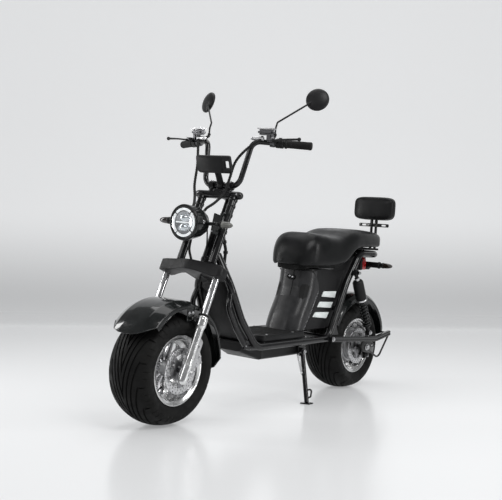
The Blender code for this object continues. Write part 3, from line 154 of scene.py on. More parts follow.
# Sections of the saddle: (y, half width, low z, high z)
SEAT_TABLE = (
    (0.1320, 0.030, 0.648, 0.670), (0.1345, 0.055, 0.634, 0.690), (0.1390, 0.072, 0.625, 0.707),
    (0.147, 0.087, 0.621, 0.727),
    (0.160, 0.101, 0.619, 0.750), (0.178, 0.113, 0.619, 0.770), (0.202, 0.125, 0.619, 0.7860),
    (0.235, 0.133, 0.619, 0.7905),
    (0.280, 0.139, 0.620, 0.7870), (0.330, 0.144, 0.622, 0.7825), (0.380, 0.148, 0.628, 0.7800),
    (0.420, 0.151, 0.638, 0.784),
    (0.450, 0.152, 0.655, 0.793), (0.485, 0.152, 0.683, 0.805), (0.530, 0.151, 0.711, 0.8140),
    (0.590, 0.147, 0.722, 0.8185),
    (0.660, 0.141, 0.725, 0.818), (0.730, 0.132, 0.7265, 0.815), (0.785, 0.121, 0.728, 0.811),
    (0.815, 0.108, 0.729, 0.805),
    (0.836, 0.090, 0.732, 0.796), (0.846, 0.066, 0.740, 0.783),
)

# Camera fitted to the photograph, and the light of the floor and wall
CAMERA_AT = (2.213, -3.0998, 0.634)
CAMERA_TURN = (math.radians(0.91), math.radians(-0.49), math.radians(37.55))
SENSOR_MM = 36
FOCAL_PIXELS = 837
IMAGE_WIDTH = 502
WALL_START = 4.4
WALL_BEND = 2.4
FLOOR_ROUGHNESS = 0.20
WALL_ROUGHNESS = 0.75
FLOOR_GLOW = 0.26
WALL_GLOW = 0.56


# Shapes

def merge(*shapes):
    """Several shapes as one."""
    points, faces, start = [], [], 0
    for more, those in shapes:
        points.append(np.asarray(more, float))
        faces += [tuple(index + start for index in face) for face in those]
        start += len(more)
    return np.concatenate(points), faces


def moved(shape, matrix):
    """A shape carried by a 4x4 matrix."""
    a = np.array(matrix, float)
    return shape[0] @ a[:3, :3].T + a[:3, 3], shape[1]


def mirrored(shape):
    """The shape on the other side of the scooter."""
    return shape[0] * (-1, 1, 1), [tuple(reversed(face)) for face in shape[1]]


def grid(points, around=True, capped=True, looped=False):
    """A surface through rows of points.

    Around joins each row's ends, capped closes the first and last row, and looped joins the last row to
    the first.
    """
    points = np.asarray(points, float)
    rows, count = points.shape[:2]
    down = np.arange(rows if looped else rows - 1)[:, None]
    along = np.arange(count if around else count - 1)[None, :]
    right = (along + 1) % count
    below = (down + 1) % rows
    quads = np.stack(
        [down * count + along, down * count + right, below * count + right, below * count + along], -1
    )
    faces = [tuple(quad) for quad in quads.reshape(-1, 4).tolist()]
    if capped and around and not looped:
        faces.append(tuple(reversed(range(count))))
        faces.append(tuple(range((rows - 1) * count, rows * count)))
    return points.reshape(-1, 3), faces


def unit(vectors):
    """The vectors at length one."""
    vectors = np.asarray(vectors, float)
    return vectors / np.maximum(np.linalg.norm(vectors, axis=-1, keepdims=True), 1e-12)


def frames(path):
    """Two directions across a path at each of its points, turned as little as possible on the way."""
    path = np.asarray(path, float)
    tangents = unit(np.gradient(path, axis=0))
    side = np.array((1.0, 0, 0)) if abs(tangents[0][0]) < 0.9 else np.array((0, 0, 1.0))
    across, other = [], []
    for tangent in tangents:
        side = unit(side - tangent * (side @ tangent))
        across.append(side)
        other.append(np.cross(tangent, side))
    return np.array(across), np.array(other)


def turns(count):
    """Angles evenly round a circle."""
    return np.arange(count) * 2 * math.pi / count


def tube(path, radius, sides=20, flat=1.0):
    """A round bar along a path: point + radius (flat cos t across + sin t other).

    The radius may be a list, with one for each point.
    """
    path = np.asarray([tuple(point) for point in path], float)
    across, other = frames(path)
    turn = turns(sides)
    radii = np.broadcast_to(np.asarray(radius, float), len(path))[:, None, None]
    ring = flat * np.cos(turn)[None, :, None] * across[:, None]
    ring = ring + np.sin(turn)[None, :, None] * other[:, None]
    return grid(path[:, None] + radii * ring)


def basis(direction):
    """The rotation that takes +Z to the direction."""
    return Z.rotation_difference(Vector(direction)).to_matrix().to_4x4()


def aimed(base, direction):
    """The place at the base, with +Z along the direction."""
    return Matrix.Translation(Vector(base)) @ basis(direction)


def lathe(profile, base, direction, sides=48):
    """A shape turned about a line: (radius, distance) pairs, shut at a radius of 0, or a closed ring."""
    solid = profile[0][0] == 0
    angles = turns(sides)
    rows = [
        np.stack([max(r, 1e-5) * np.cos(angles), max(r, 1e-5) * np.sin(angles), np.full(sides, d)], -1)
        for r, d in profile
    ]
    shape = grid(rows, capped=solid, looped=not solid)
    return moved(shape, aimed(base, direction))


def rounded(profile, radius, steps=4, closed=False):
    """A profile with its corners rounded by arcs of about this radius."""
    points = [np.array(point, float) for point in profile]
    count = len(points)
    made = []
    for index, point in enumerate(points):
        if not closed and index in (0, count - 1):
            made.append(tuple(point))
            continue
        before, after = points[index - 1], points[(index + 1) % count]
        back, ahead = before - point, after - point
        cut = min(radius, 0.45 * np.linalg.norm(back), 0.45 * np.linalg.norm(ahead))
        start, end = point + unit(back) * cut, point + unit(ahead) * cut
        for share in np.linspace(0, 1, steps + 1):
            made.append(tuple((1 - share) ** 2 * start + 2 * share * (1 - share) * point + share**2 * end))
    return made


def eased(profile, radius, steps=4):
    """A closed profile with its corners rounded."""
    return rounded(profile, radius, steps, closed=True)


def oblong(left, right, low, high):
    """The four corners of an upright rectangle."""
    return [(left, low), (right, low), (right, high), (left, high)]


def bar(start, end, radius, sides=24, edge=0.0008):
    """A round bar between two points with its edges eased."""
    start, end = Vector(start), Vector(end)
    length = (end - start).length
    return lathe(rounded(oblong(0, radius, 0, length), edge, 3), start, end - start, sides)


def box(size, centre, radius=0.002, turn=None, segments=3):
    """A box with rounded edges, turned about its centre."""
    bm = bmesh.new()
    bmesh.ops.create_cube(bm, size=1)
    bmesh.ops.scale(bm, vec=size, verts=bm.verts)
    edges = list(bm.edges)
    bmesh.ops.bevel(bm, geom=edges, offset=min(radius, min(size) * 0.49), segments=segments, affect="EDGES")
    place = Matrix.Translation(Vector(centre))
    if turn is not None:
        place = place @ turn.to_4x4()
    return moved(from_bmesh(bm), place)


def from_bmesh(bm):
    """A bmesh as a shape."""
    bm.verts.index_update()
    shape = np.array([v.co for v in bm.verts], float), [tuple(v.index for v in f.verts) for f in bm.faces]
    bm.free()
    return shape


def plate(outline, thickness, place, holes=(), edge=0.0006):
    """A flat plate with holes and eased edges, drawn in XY about z 0 and carried by a matrix."""
    curve = bpy.data.curves.new("plate", "CURVE")
    curve.dimensions = "2D"
    curve.fill_mode = "BOTH"
    curve.extrude = thickness / 2 - edge
    curve.bevel_depth = edge
    curve.bevel_resolution = 1
    curve.offset = -edge
    for line in (outline, *holes):
        spline = curve.splines.new("POLY")
        spline.points.add(len(line) - 1)
        for point, (x, y) in zip(spline.points, line):
            point.co = (x, y, 0, 1)
        spline.use_cyclic_u = True
    obj = bpy.data.objects.new("plate", curve)
    bpy.context.scene.collection.objects.link(obj)
    graph = bpy.context.evaluated_depsgraph_get()
    mesh = bpy.data.meshes.new_from_object(obj.evaluated_get(graph))
    points = np.array([v.co for v in mesh.vertices], float)
    faces = [tuple(face.vertices) for face in mesh.polygons]
    bpy.data.objects.remove(obj)
    bpy.data.curves.remove(curve)
    bpy.data.meshes.remove(mesh)
    return moved((points, faces), place)


def circle(radius, centre=(0, 0), sides=24, sweep=(0, 360)):
    """Points round a circle."""
    angles = np.radians(np.linspace(*sweep, sides, endpoint=sweep != (0, 360)))
    return [(centre[0] + radius * math.cos(a), centre[1] + radius * math.sin(a)) for a in angles]


def bent(corners, radii, step=math.radians(6)):
    """Points along a pipe bent round its inner corners, each with its own bend radius."""
    corners = [Vector(corner) for corner in corners]
    points = [corners[0]]
    for before, corner, after, radius in zip(corners, corners[1:], corners[2:], radii):
        back = (before - corner).normalized()
        ahead = (after - corner).normalized()
        opening = back.angle(ahead)
        middle = corner + (back + ahead).normalized() * radius / math.sin(opening / 2)
        spoke = corner + back * radius / math.tan(opening / 2) - middle
        axle = back.cross(ahead).normalized()
        count = max(3, math.ceil((math.pi - opening) / step))
        for index in range(count + 1):
            points.append(middle + Matrix.Rotation(-(math.pi - opening) * index / count, 3, axle) @ spoke)
    return [*points, corners[-1]]


def flow(points, count=8):
    """Points along a smooth curve through the given ones, count for each stretch."""
    points = [np.array(point, float) for point in points]
    ends = [points[0] * 2 - points[1], *points, points[-1] * 2 - points[-2]]
    route = []
    for a, b, c, d in zip(ends, ends[1:], ends[2:], ends[3:]):
        for t in np.arange(count) / count:
            route.append(
                0.5 * (2 * b + (c - a) * t + (2 * a - 5 * b + 4 * c - d) * t**2)
                + 0.5 * (3 * b - a - 3 * c + d) * t**3
            )
    return np.array([*route, points[-1]])


def even(path, step):
    """The same path with its points a step apart."""
    path = np.asarray(path, float)
    far = np.concatenate([[0], np.cumsum(np.linalg.norm(np.diff(path, axis=0), axis=1))])
    marks = np.linspace(0, far[-1], max(2, int(far[-1] / step)))
    return np.stack([np.interp(marks, far, path[:, k]) for k in range(3)], -1)


def coil(start, end, radius, wire, turns, sides=10):
    """A round wire wound about a line, its end turns closed up."""
    start, end = Vector(start), Vector(end)
    share = np.linspace(0, 1, int(turns * 28))
    squeeze = 0.04
    along = np.interp(share, (0, 0.08, 0.92, 1), (squeeze / 3, squeeze, 1 - squeeze, 1 - squeeze / 3))
    angle = share * turns * 2 * math.pi
    length = (end - start).length
    path = np.stack([radius * np.cos(angle), radius * np.sin(angle), along * length], -1)
    return moved(tube(path, wire, sides), aimed(start, end - start))


def bolt(base, direction, radius, high=0.6, socket=True):
    """A bolt head on its washer: a socket head with a hexagonal recess, or a hexagon with eased corners."""
    thick = 0.0012
    tall = radius * high * 2
    washer = lathe(rounded(oblong(0, radius * 1.45, 0, thick), 0.0004, 2), base, direction, 20)
    start = Vector(base) + Vector(direction).normalized() * thick
    if not socket:
        head = [(0, 0), (radius * 1.1, 0), (radius * 1.1, tall * 0.8), (radius * 0.95, tall), (0, tall)]
        return merge(washer, lathe(head, start, direction, 6))
    head = [(0, 0), (radius, 0), (radius, tall * 0.86), (radius * 0.88, tall), (radius * 0.56, tall)]
    recess = [
        (0, tall * 0.4), (radius * 0.50, tall * 0.4), (radius * 0.52, tall * 0.96), (radius * 0.56, tall)
    ]
    return merge(washer, lathe(head, start, direction, 20), lathe(recess, start, direction, 6))


def axis_point(z):
    """The point of the steering axis at this height."""
    return Vector((0, STEER_BASE.y + (z - STEER_BASE.z) * TAN_RAKE, z))


def leg_point(x, z):
    """The point at this height on a line beside the fork legs."""
    return axis_point(z) + Vector((x, -FORK_LEAD, 0))


def raked(x, forward, up, z):
    """A point given in the steering's own directions, from its axis at height z."""
    return axis_point(z) + float(x) * X + float(forward) * FORWARD + float(up) * STEER_AXIS


def on_bar(distance, side):
    """A point on the handlebar's outer stretch, this far in from its end."""
    end = Vector(BAR_END)
    point = end + (Vector(BAR_ELBOW) - end).normalized() * distance
    return Vector((side * point.x, point.y, point.z))


# Materials

class Finish:
    """One procedural material: a Principled shader fed by noise in the piece's own coordinates."""

    def __init__(self, name, colour, roughness, metallic=0.0, **sockets):
        self.made = bpy.data.materials.new(name)
        self.made.use_nodes = True
        self.tree = self.made.node_tree
        self.shader = self.tree.nodes["Principled BSDF"]
        self.colour = (*colour, 1)
        self.shader.inputs["Base Color"].default_value = self.colour
        self.shader.inputs["Roughness"].default_value = roughness
        self.shader.inputs["Metallic"].default_value = metallic
        for key, value in sockets.items():
            self.shader.inputs[key.replace("_", " ")].default_value = value
        self.place = self.tree.nodes.new("ShaderNodeTexCoord").outputs["Object"]
        self.bump = None

    def join(self, output, socket):
        """Links an output to an input."""
        self.tree.links.new(output, socket)

    def node(self, kind, **inputs):
        """A new node with these inputs set."""
        made = self.tree.nodes.new(kind)
        for key, value in inputs.items():
            made.inputs[key.replace("_", " ")].default_value = value
        return made

    def noise(self, scale, detail):
        """Noise of this many features to the metre."""
        made = self.node("ShaderNodeTexNoise", Scale=scale, Detail=detail)
        self.join(self.place, made.inputs["Vector"])
        return made.outputs["Fac"]

    def cells(self, scale, feature="F1"):
        """Voronoi cells of this many to the metre."""
        made = self.node("ShaderNodeTexVoronoi", Scale=scale)
        made.feature = feature
        self.join(self.place, made.inputs["Vector"])
        return made.outputs["Distance"]

    def span(self, value, low, high):
        """The middle part of the noise's range, as a number from low to high."""
        made = self.node("ShaderNodeMapRange")
        for key, number in zip(("From Min", "From Max", "To Min", "To Max"), (0.35, 0.65, low, high)):
            made.inputs[key].default_value = number
        self.join(value, made.inputs["Value"])
        return made.outputs["Result"]

    def vary_roughness(self, value, low, high):
        """Roughness from low to high with the noise."""
        self.join(self.span(value, low, high), self.shader.inputs["Roughness"])
        return self

    def vary_colour(self, value, other):
        """Colour from the finish's own to the other one with the noise."""
        mix = self.tree.nodes.new("ShaderNodeMix")
        mix.data_type = "RGBA"
        mix.inputs[6].default_value = self.colour
        mix.inputs[7].default_value = (*other, 1)
        self.join(self.span(value, 0, 1), mix.inputs[0])
        self.join(mix.outputs[2], self.shader.inputs["Base Color"])
        return self

    def relief(self, value, strength, height):
        """Adds a bump of this height in metres."""
        made = self.node("ShaderNodeBump", Strength=strength, Distance=height)
        self.join(value, made.inputs["Height"])
        if self.bump is not None:
            self.join(self.bump, made.inputs["Normal"])
        self.bump = made.outputs["Normal"]
        self.join(self.bump, self.shader.inputs["Normal"])
        return self


def paint(name, colour, roughness, coat=0.6, haze=0.03):
    """Sprayed paint: faint orange peel under a clear coat of this haze, and a little dust."""
    made = Finish(name, colour, roughness, Coat_Weight=coat, Coat_Roughness=haze, Specular_IOR_Level=0.15)
    made.vary_roughness(made.noise(9, 3), roughness * 0.85, roughness * 1.25)
    made.vary_colour(made.noise(26, 4), tuple(c * 1.5 + 0.003 for c in colour))
    return made.relief(made.noise(60, 1), 0.02, 0.0002)


def plastic(name, colour, roughness, grain=900):
    """Moulded plastic with a fine spark-eroded grain."""
    made = Finish(name, colour, roughness, Specular_IOR_Level=0.20)
    made.vary_roughness(made.noise(14, 3), roughness * 0.85, roughness * 1.2)
    made.vary_colour(made.noise(7, 3), tuple(c * 1.45 + 0.002 for c in colour))
    return made.relief(made.cells(grain), 0.25, 0.0002)


def metal(name, colour, roughness, grain=0.12):
    """Bare or plated metal with uneven polish."""
    made = Finish(name, colour, roughness, 1.0)
    made.vary_roughness(made.noise(38, 4), roughness * 0.7, roughness * 1.45)
    made.vary_colour(made.noise(17, 3), tuple(c * 0.86 for c in colour))
    return made.relief(made.noise(260, 3), grain, 0.0002)


def make_finishes():
    """Every material by name."""
    made = {
        "frame": paint("frame_paint", (0.005, 0.005, 0.0055), 0.16, 0.55),
        "gloss": paint("fender_gloss", (0.006, 0.007, 0.007), 0.18, 0.55),
        "cover": paint("cover_gloss", (0.018, 0.018, 0.019), 0.34, 0.45, 0.26),
        "satin": plastic("satin_black", (0.008, 0.008, 0.0085), 0.38),
        "dull": plastic("dull_black", (0.009, 0.009, 0.009), 0.60, 600),
        # Deep black for the port ring and the saddle pan; at the back of the cover's recess it is painted
        # shade
        "dark": plastic("black_and_recess_shade", (0.005, 0.005, 0.005), 0.7),
        "white": plastic("white_insert", (0.76, 0.80, 0.79), 0.34, 1500),
        "rubber": plastic("grip_rubber", (0.008, 0.008, 0.008), 0.66, 500),
        "chrome": metal("chrome", (0.66, 0.66, 0.67), 0.14),
        "alloy": metal("polished_alloy", (0.80, 0.80, 0.80), 0.20),
        "cast": metal("cast_alloy", (0.60, 0.60, 0.61), 0.36, grain=0.35),
        "dark_cast": metal("dark_casting", (0.10, 0.10, 0.105), 0.34, grain=0.35),
        "steel": metal("bolt_steel", (0.62, 0.62, 0.63), 0.28),
        "disc": metal("disc_steel", (0.66, 0.66, 0.67), 0.24),
        "spoke": metal("spoke_alloy", (0.62, 0.62, 0.63), 0.20),
        "carrier": metal("carrier_grey", (0.30, 0.30, 0.31), 0.30),
        "lid": metal("reservoir_lid", (0.62, 0.62, 0.63), 0.34),
        "glass": Finish("clear_lens", (0.93, 0.95, 0.96), 0.03, Transmission_Weight=1.0, IOR=1.46),
        "mirror": Finish("mirror_glass", (0.80, 0.82, 0.84), 0.03, 1.0),
        "red": Finish("red_lens", (0.42, 0.008, 0.010), 0.12, Coat_Weight=0.6),
        "smoke": Finish("smoked_lens", (0.34, 0.34, 0.32), 0.12, Transmission_Weight=0.55, IOR=1.45),
        "lamp": Finish(
            "lamp_ring", (0.95, 0.96, 0.97), 0.25, Emission_Strength=0.55, Emission_Color=(1, 1, 1, 1)
        ),
        # A darker copy of the smoked signal lens, used on three of the four signals: painted shade
        "smoke_shaded": Finish("signal_lens_painted_shade", (0.020, 0.014, 0.012), 0.12, Coat_Weight=0.5),
        "screen": Finish("screen", (0.006, 0.007, 0.008), 0.08, Coat_Weight=1.0),
    }
    tyre = Finish("tyre_rubber", (0.008, 0.008, 0.008), 0.60, Specular_IOR_Level=0.13)
    tyre.vary_roughness(tyre.noise(30, 5), 0.48, 0.72)
    tyre.vary_colour(tyre.noise(11, 6), (0.011, 0.011, 0.0105))
    tyre.relief(tyre.noise(700, 3), 0.25, 0.0003)
    made["tyre"] = tyre
    hide = Finish("seat_leather", (0.0055, 0.0060, 0.0062), 0.34, Specular_IOR_Level=0.18)
    hide.vary_roughness(hide.noise(22, 4), 0.28, 0.40)
    hide.vary_colour(hide.noise(8, 5), (0.010, 0.010, 0.0105))
    hide.relief(hide.cells(520, "SMOOTH_F1"), 0.30, 0.0003)
    hide.relief(hide.noise(90, 5), 0.20, 0.0006)
    made["leather"] = hide
    made["sleeve"] = plastic("cable_sleeve", (0.010, 0.010, 0.010), 0.5, 1200)
    for key in ("red", "smoke", "glass", "mirror", "lamp", "screen"):
        made[key].relief(made[key].noise(60, 2), 0.04, 0.0003)
    return {key: value.made for key, value in made.items()}


def piece(name, shape, finish, body, replaces=(), sharp=32):
    """Puts a shape into the scene as one piece of the scooter, riding on its body."""
    points, faces = moved(shape, STEERED if body in STEERED_BODIES else PARKED)
    mesh = bpy.data.meshes.new(name)
    mesh.from_pydata(points.tolist(), [], faces)
    bm = bmesh.new()
    bm.from_mesh(mesh)
    bmesh.ops.remove_doubles(bm, verts=bm.verts, dist=0.00002)
    bmesh.ops.recalc_face_normals(bm, faces=bm.faces)
    bm.to_mesh(mesh)
    bm.free()
    mesh.shade_smooth()
    mesh.set_sharp_from_angle(angle=math.radians(sharp))
    mesh.materials.append(FINISH[finish])
    obj = bpy.data.objects.new(name, mesh)
    bpy.context.scene.collection.objects.link(obj)
    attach(obj, body)
    if replaces:
        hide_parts(*replaces)
    return obj


# Wheels

def tyre_section():
    """The tyre's half section from its crown to its bead, as (x, radius)."""
    crown = []
    for x in np.linspace(0, 0.088, 30):
        crown.append((x, TYRE_RADIUS - CROWN_RADIUS + math.sqrt(CROWN_RADIUS**2 - x**2)))
    wall = (
        (0.088, 0.2005), (0.0975, 0.1905), (0.1023, 0.1760), (0.0990, 0.1590), (0.0905, 0.1452),
        (0.0855, 0.1400),
        (0.0825, 0.1264),
    )
    return np.array([*crown, *flow(wall, 4)[1:]])


def tyre(axle):
    """The tyre: grooves that follow s(x) = S (1 - x / end)^1.2 round the tread, and shoulder nicks.

    The columns follow the grooves, so that their walls stay sharp: column u lies at u periods, less s(x).
    """
    section = tyre_section()
    period = 2 * math.pi * TYRE_RADIUS / TREAD_PERIODS
    sweep = 3.4 * period
    rows = []
    for x, radius in section:
        left = max(0.0, 1 - x / TREAD_END)
        slope = 1.2 * sweep / TREAD_END * left**0.2 if left else 0.0
        half = 0.5 * GROOVE_WIDTH * math.hypot(1, slope) / period
        wall = 0.35 * half
        nick = 0.5 * NICK_WIDTH / period
        columns = [(-half - wall, 0), (-half, 1), (half, 1), (half + wall, 0)]
        for middle in (0.36, 0.66):
            columns += [
                (middle - 2 * nick, 0), (middle - nick, 2), (middle + nick, 2), (middle + 2 * nick, 0)
            ]
        columns += [(0.50, 0), (0.79, 0)]
        columns.sort()
        groove = GROOVE_DEPTH * min(1.0, max(0.0, (0.0965 - x) / 0.012)) if radius > 0.186 else 0.0
        notch = NICK_DEPTH if 0.086 < x and 0.178 < radius < 0.203 else 0.0
        angles = []
        radii = []
        for turn in range(TREAD_PERIODS):
            for u, kind in columns:
                angles.append((turn + u) * 2 * math.pi / TREAD_PERIODS - sweep * left**1.2 / TYRE_RADIUS)
                radii.append(radius - (groove if kind == 1 else notch if kind == 2 else 0.0))
        rows.append((x, np.array(radii), np.array(angles)))
    inner = [(0.066, 0.1264), (0.078, 0.150), (0.086, 0.176), (0.070, 0.196), (0, 0.211)]
    ring = rows + [(x, np.full(len(rows[-1][2]), r), rows[-1][2]) for x, r in inner]
    points = []
    for sign, part in ((1, ring), (-1, ring[-2:0:-1])):
        for x, radii, angles in part:
            across = np.full(len(radii), sign * x)
            points.append(np.stack([across, radii * np.sin(angles), radii * np.cos(angles)], -1))
    shape = grid(points, looped=True)
    return shape[0] + np.array(axle), shape[1]


def rim_line():
    """The rim's closed section, as (radius, x), with its rolled lips and drop centre."""
    edge = RIM_WIDTH / 2
    seat = RIM_RADIUS - RIM_FLANGE
    well = RIM_RADIUS - 0.030
    outer = [
        (RIM_RADIUS, edge), (RIM_RADIUS + 0.0002, edge - 0.0032), (seat, edge - 0.0052), (seat, 0.046),
        (well, 0.030),
    ]
    inner = [
        (well - 0.0055, 0.027), (seat - 0.0058, 0.043), (seat - 0.0060, edge - 0.007),
        (RIM_RADIUS - 0.005, edge - 0.001),
    ]
    line = outer + [(r, -x) for r, x in reversed(outer)] + [(r, -x) for r, x in reversed(inner)] + inner
    return eased(line, 0.003, 3)


def spoke_bar(root, tip, angle, lean, half, thick):
    """A tapered spoke with chamfered faces, from the hub to the rim's well, as (x, y, z) about the axle."""
    rows = []
    for share in np.linspace(0, 1, 9):
        radius = root + (tip - root) * share
        turn = angle + lean * share
        flare = 0.25 * (2 * share - 1) ** 4
        wide = half * (1.0 - 0.30 * share + flare)
        deep = thick * (1 - 0.38 * share + 0.5 * flare)
        middle = np.array((0, radius * math.sin(turn), radius * math.cos(turn)))
        across = np.array((0, math.cos(turn), -math.sin(turn)))
        ring = [
            (1, 0.55), (0.45, 1), (-0.45, 1), (-1, 0.55), (-1, -0.55), (-0.45, -1), (0.45, -1), (1, -0.55)
        ]
        rows.append([middle + wide * a * across + deep * b * np.array((1.0, 0, 0)) for a, b in ring])
    return grid(rows)


def wheel(name, axle, hub_radius, hub_width, body, driven):
    """A polished rim, twin spokes, its hub, the tyre's valve and its tread."""
    piece(f"{name}_rim_barrel", lathe(rim_line(), axle, X, 120), "alloy", body, [f"{name}_rim"])
    half = hub_width / 2
    hub = [
        (0.0088, -half), (hub_radius - 0.012, -half), (hub_radius - 0.004, 0.006 - half),
        (hub_radius, 0.014 - half), (hub_radius, half - 0.014), (hub_radius - 0.004, half - 0.006),
        (0.040 if driven else 0.030, half), (0.026, half + 0.004), (0.026, 0.0935), (0.0088, 0.0935),
    ]
    shapes = [lathe(eased(hub, 0.003, 3), axle, X, 72)]
    for radius in (0.060, 0.074) if driven else ():
        for side in (-1, 1):
            ridge = [
                (radius + 0.0025, 0), (radius + 0.0015, 0.0022), (radius - 0.0015, 0.0022),
                (radius - 0.0025, 0),
            ]
            shapes.append(lathe([(r, side * (half - 0.001 + d)) for r, d in ridge], axle, X, 72))
    piece(f"{name}_hub", merge(*shapes), "cast", body)
    spokes = []
    for index in range(SPOKE_PAIRS):
        angle = SPOKE_PHASE + 2 * math.pi * index / SPOKE_PAIRS
        for side in (-1, 1):
            made = spoke_bar(
                hub_radius - 0.006, RIM_RADIUS - 0.031, angle + side * SPOKE_SPREAD, side * 0.02, 0.0075,
                0.019,
            )
            spokes.append((made[0] + np.array(axle), made[1]))
    piece(f"{name}_spokes", merge(*spokes), "spoke", body)
    angle = math.radians(200)
    foot = Vector(axle) + Vector((0.012, 0.103 * math.sin(angle), 0.103 * math.cos(angle)))
    inward = Vector((0.55, -math.sin(angle), -math.cos(angle))).normalized()
    stem = [
        (0, 0), (0.0052, 0), (0.0046, 0.008), (0.0030, 0.011), (0.0030, 0.024), (0.0042, 0.025),
        (0.0042, 0.034), (0, 0.035),
    ]
    piece(f"{name}_valve", lathe(stem, foot, inward, 16), "rubber", body)
    piece(f"{name}_tread", tyre(axle), "tyre", body, [f"{name}_tyre"], sharp=28)


def disc(name, axle, body):
    """A drilled brake disc on its bolted carrier."""
    place = aimed(Vector(axle) + DISC_X * X, X)
    holes = [circle(0.0655, sides=60)]
    for radius, count, shift in ((0.0838, 26, 0.0), (0.0730, 26, 0.5)):
        for index in range(count):
            turn = 2 * math.pi * (index + shift) / count
            holes.append(circle(0.0033, (radius * math.cos(turn), radius * math.sin(turn)), 10))
    piece(
        f"{name}_disc_ring", plate(circle(DISC_RADIUS, sides=120), 0.0038, place, holes, 0.0003), "disc",
        body, [f"{name}_disc"],
    )
    outline = []
    for index in range(5):
        start = 72 * index
        outline += circle(0.0680, sides=4, sweep=(start - 7, start + 7))
        outline += circle(0.0400, sides=7, sweep=(start + 18, start + 54))
    carrier = plate(outline, 0.0030, place, [circle(0.0088, sides=28)], 0.0004)
    bolts = []
    for index in range(5):
        turn = math.radians(72 * index)
        spot = Vector(axle) + (DISC_X + 0.0018) * X
        spot += basis(X) @ Vector((0.0215 * math.cos(turn), 0.0215 * math.sin(turn), 0))
        bolts.append(bolt(spot, X, 0.0032, 0.42))
    piece(f"{name}_disc_carrier", carrier, "carrier", body)
    piece(f"{name}_disc_bolts", merge(*bolts), "steel", body)


# Fork and steering

def fork():
    """Sliders with their collars and bosses, bright tubes, dust seals, the axle's nuts and the pinch bolts.
    """
    for side, name in SIDES:
        high = leg_point(side * FORK_X, SLIDER_TOP_Z)
        low = leg_point(side * FORK_X, SLIDER_LOW_Z)
        length = (high - low).length
        profile = [
            (0, -0.006), (0.0150, -0.006), (0.0200, 0.001), (0.0212, 0.012), (0.0212, 0.068), (0.0186, 0.095),
            (0.0186, length - 0.052), (0.0222, length - 0.040), (0.0222, length - 0.012),
            (0.0212, length - 0.010), (0.0212, length - 0.004), (0.0195, length), (0, length),
        ]
        body = lathe(rounded(profile, 0.004, 4), low, STEER_AXIS, 64)
        start = Vector((side * (FORK_X - 0.020), FRONT_AXLE.y, FRONT_AXLE.z))
        boss = [
            (0, 0), (0.0212, 0), (0.0212, 0.036), (0.0195, 0.040), (0.0150, 0.041), (0.0140, 0.037),
            (0, 0.037),
        ]
        boss = lathe(rounded(boss, 0.0015, 3), start, side * X, 48)
        lug = box(
            (0.016, 0.018, 0.036), low + STEER_AXIS * 0.018 + Vector((0, 0.012, 0)), 0.005,
            Matrix.Rotation(-RAKE, 3, "X"),
        )
        piece(f"slider_{name}", merge(body, boss, lug), "alloy", "steering", [f"fork_slider_{name}"])
        nut = bolt(start + side * 0.0372 * X, side * X, 0.0085, 0.35, socket=False)
        pinch = bolt(low + STEER_AXIS * 0.020 + Vector((side * 0.0085, 0.016, 0)), side * X, 0.0034, 0.5)
        piece(f"axle_nut_{name}", merge(nut, pinch), "steel", "steering")
        seal = [(0.0146, 0), (0.0208, 0), (0.0208, 0.004), (0.0180, 0.0075), (0.0150, 0.009), (0.0146, 0.009)]
        piece(
            f"dust_seal_{name}", lathe(eased(seal, 0.001, 2), high + STEER_AXIS * 0.0002, STEER_AXIS, 48),
            "rubber", "steering",
        )
        end = raked(side * FORK_X, LEG_FORWARD, -0.006, CLAMP_Z)
        piece(
            f"stanchion_{name}", bar(high + STEER_AXIS * 0.0005, end, LEG_TUBE_RADIUS, 64), "chrome",
            "steering", [f"fork_tube_{name}"],
        )


def lower_clamp():
    """The bowed lower clamp with its flat middle facet, its pinch bolts, and the stem with its bearings."""
    rows = [*CLAMP_TABLE, *((-x, *rest) for x, *rest in reversed(CLAMP_TABLE))]
    rings = []
    for x, front, back, low, high in rows:
        line = eased([(front, low), (front, high), (back, high), (back, low)], 0.0045)
        rings.append([np.array(raked(x, forward, up, CLAMP_Z)) for forward, up in line])
    piece("clamp_bow", grid(rings), "satin", "steering", ["lower_clamp"], sharp=24)
    stem = [bar(axis_point(CLAMP_Z), axis_point(UPPER_TOP_Z - 0.008), LEG_TUBE_RADIUS, 40)]
    for z in (HEAD_LOW_Z - 0.006, HEAD_TOP_Z - 0.003):
        cup = [(0.0145, 0), (0.0290, 0), (0.0305, 0.003), (0.0305, 0.007), (0.0270, 0.010), (0.0145, 0.010)]
        stem.append(lathe(eased(cup, 0.001, 2), axis_point(z), STEER_AXIS, 48))
    piece("steering_stem", merge(*stem), "satin", "steering")
    bolts = []
    for side, _ in SIDES:
        for up in (-0.024, -0.002):
            bolts.append(bolt(raked(side * 0.142, 0.0385, up, CLAMP_Z), -FORWARD, 0.0036, 0.5))
        cap = raked(side * FORK_X, LEG_FORWARD, 0.0125, CLAMP_Z)
        bolts.append(bolt(cap, STEER_AXIS, 0.0085, 0.22))
        foot = raked(side * UPPER_X, LEG_FORWARD, 0.0140, CLAMP_Z)
        bolts.append(lathe(
            eased([(0.0166, 0), (0.0215, 0), (0.0215, 0.004), (0.0166, 0.006)], 0.001, 2), foot, STEER_AXIS,
            40,
        ))
    piece("clamp_bolts", merge(*bolts), "satin", "steering")


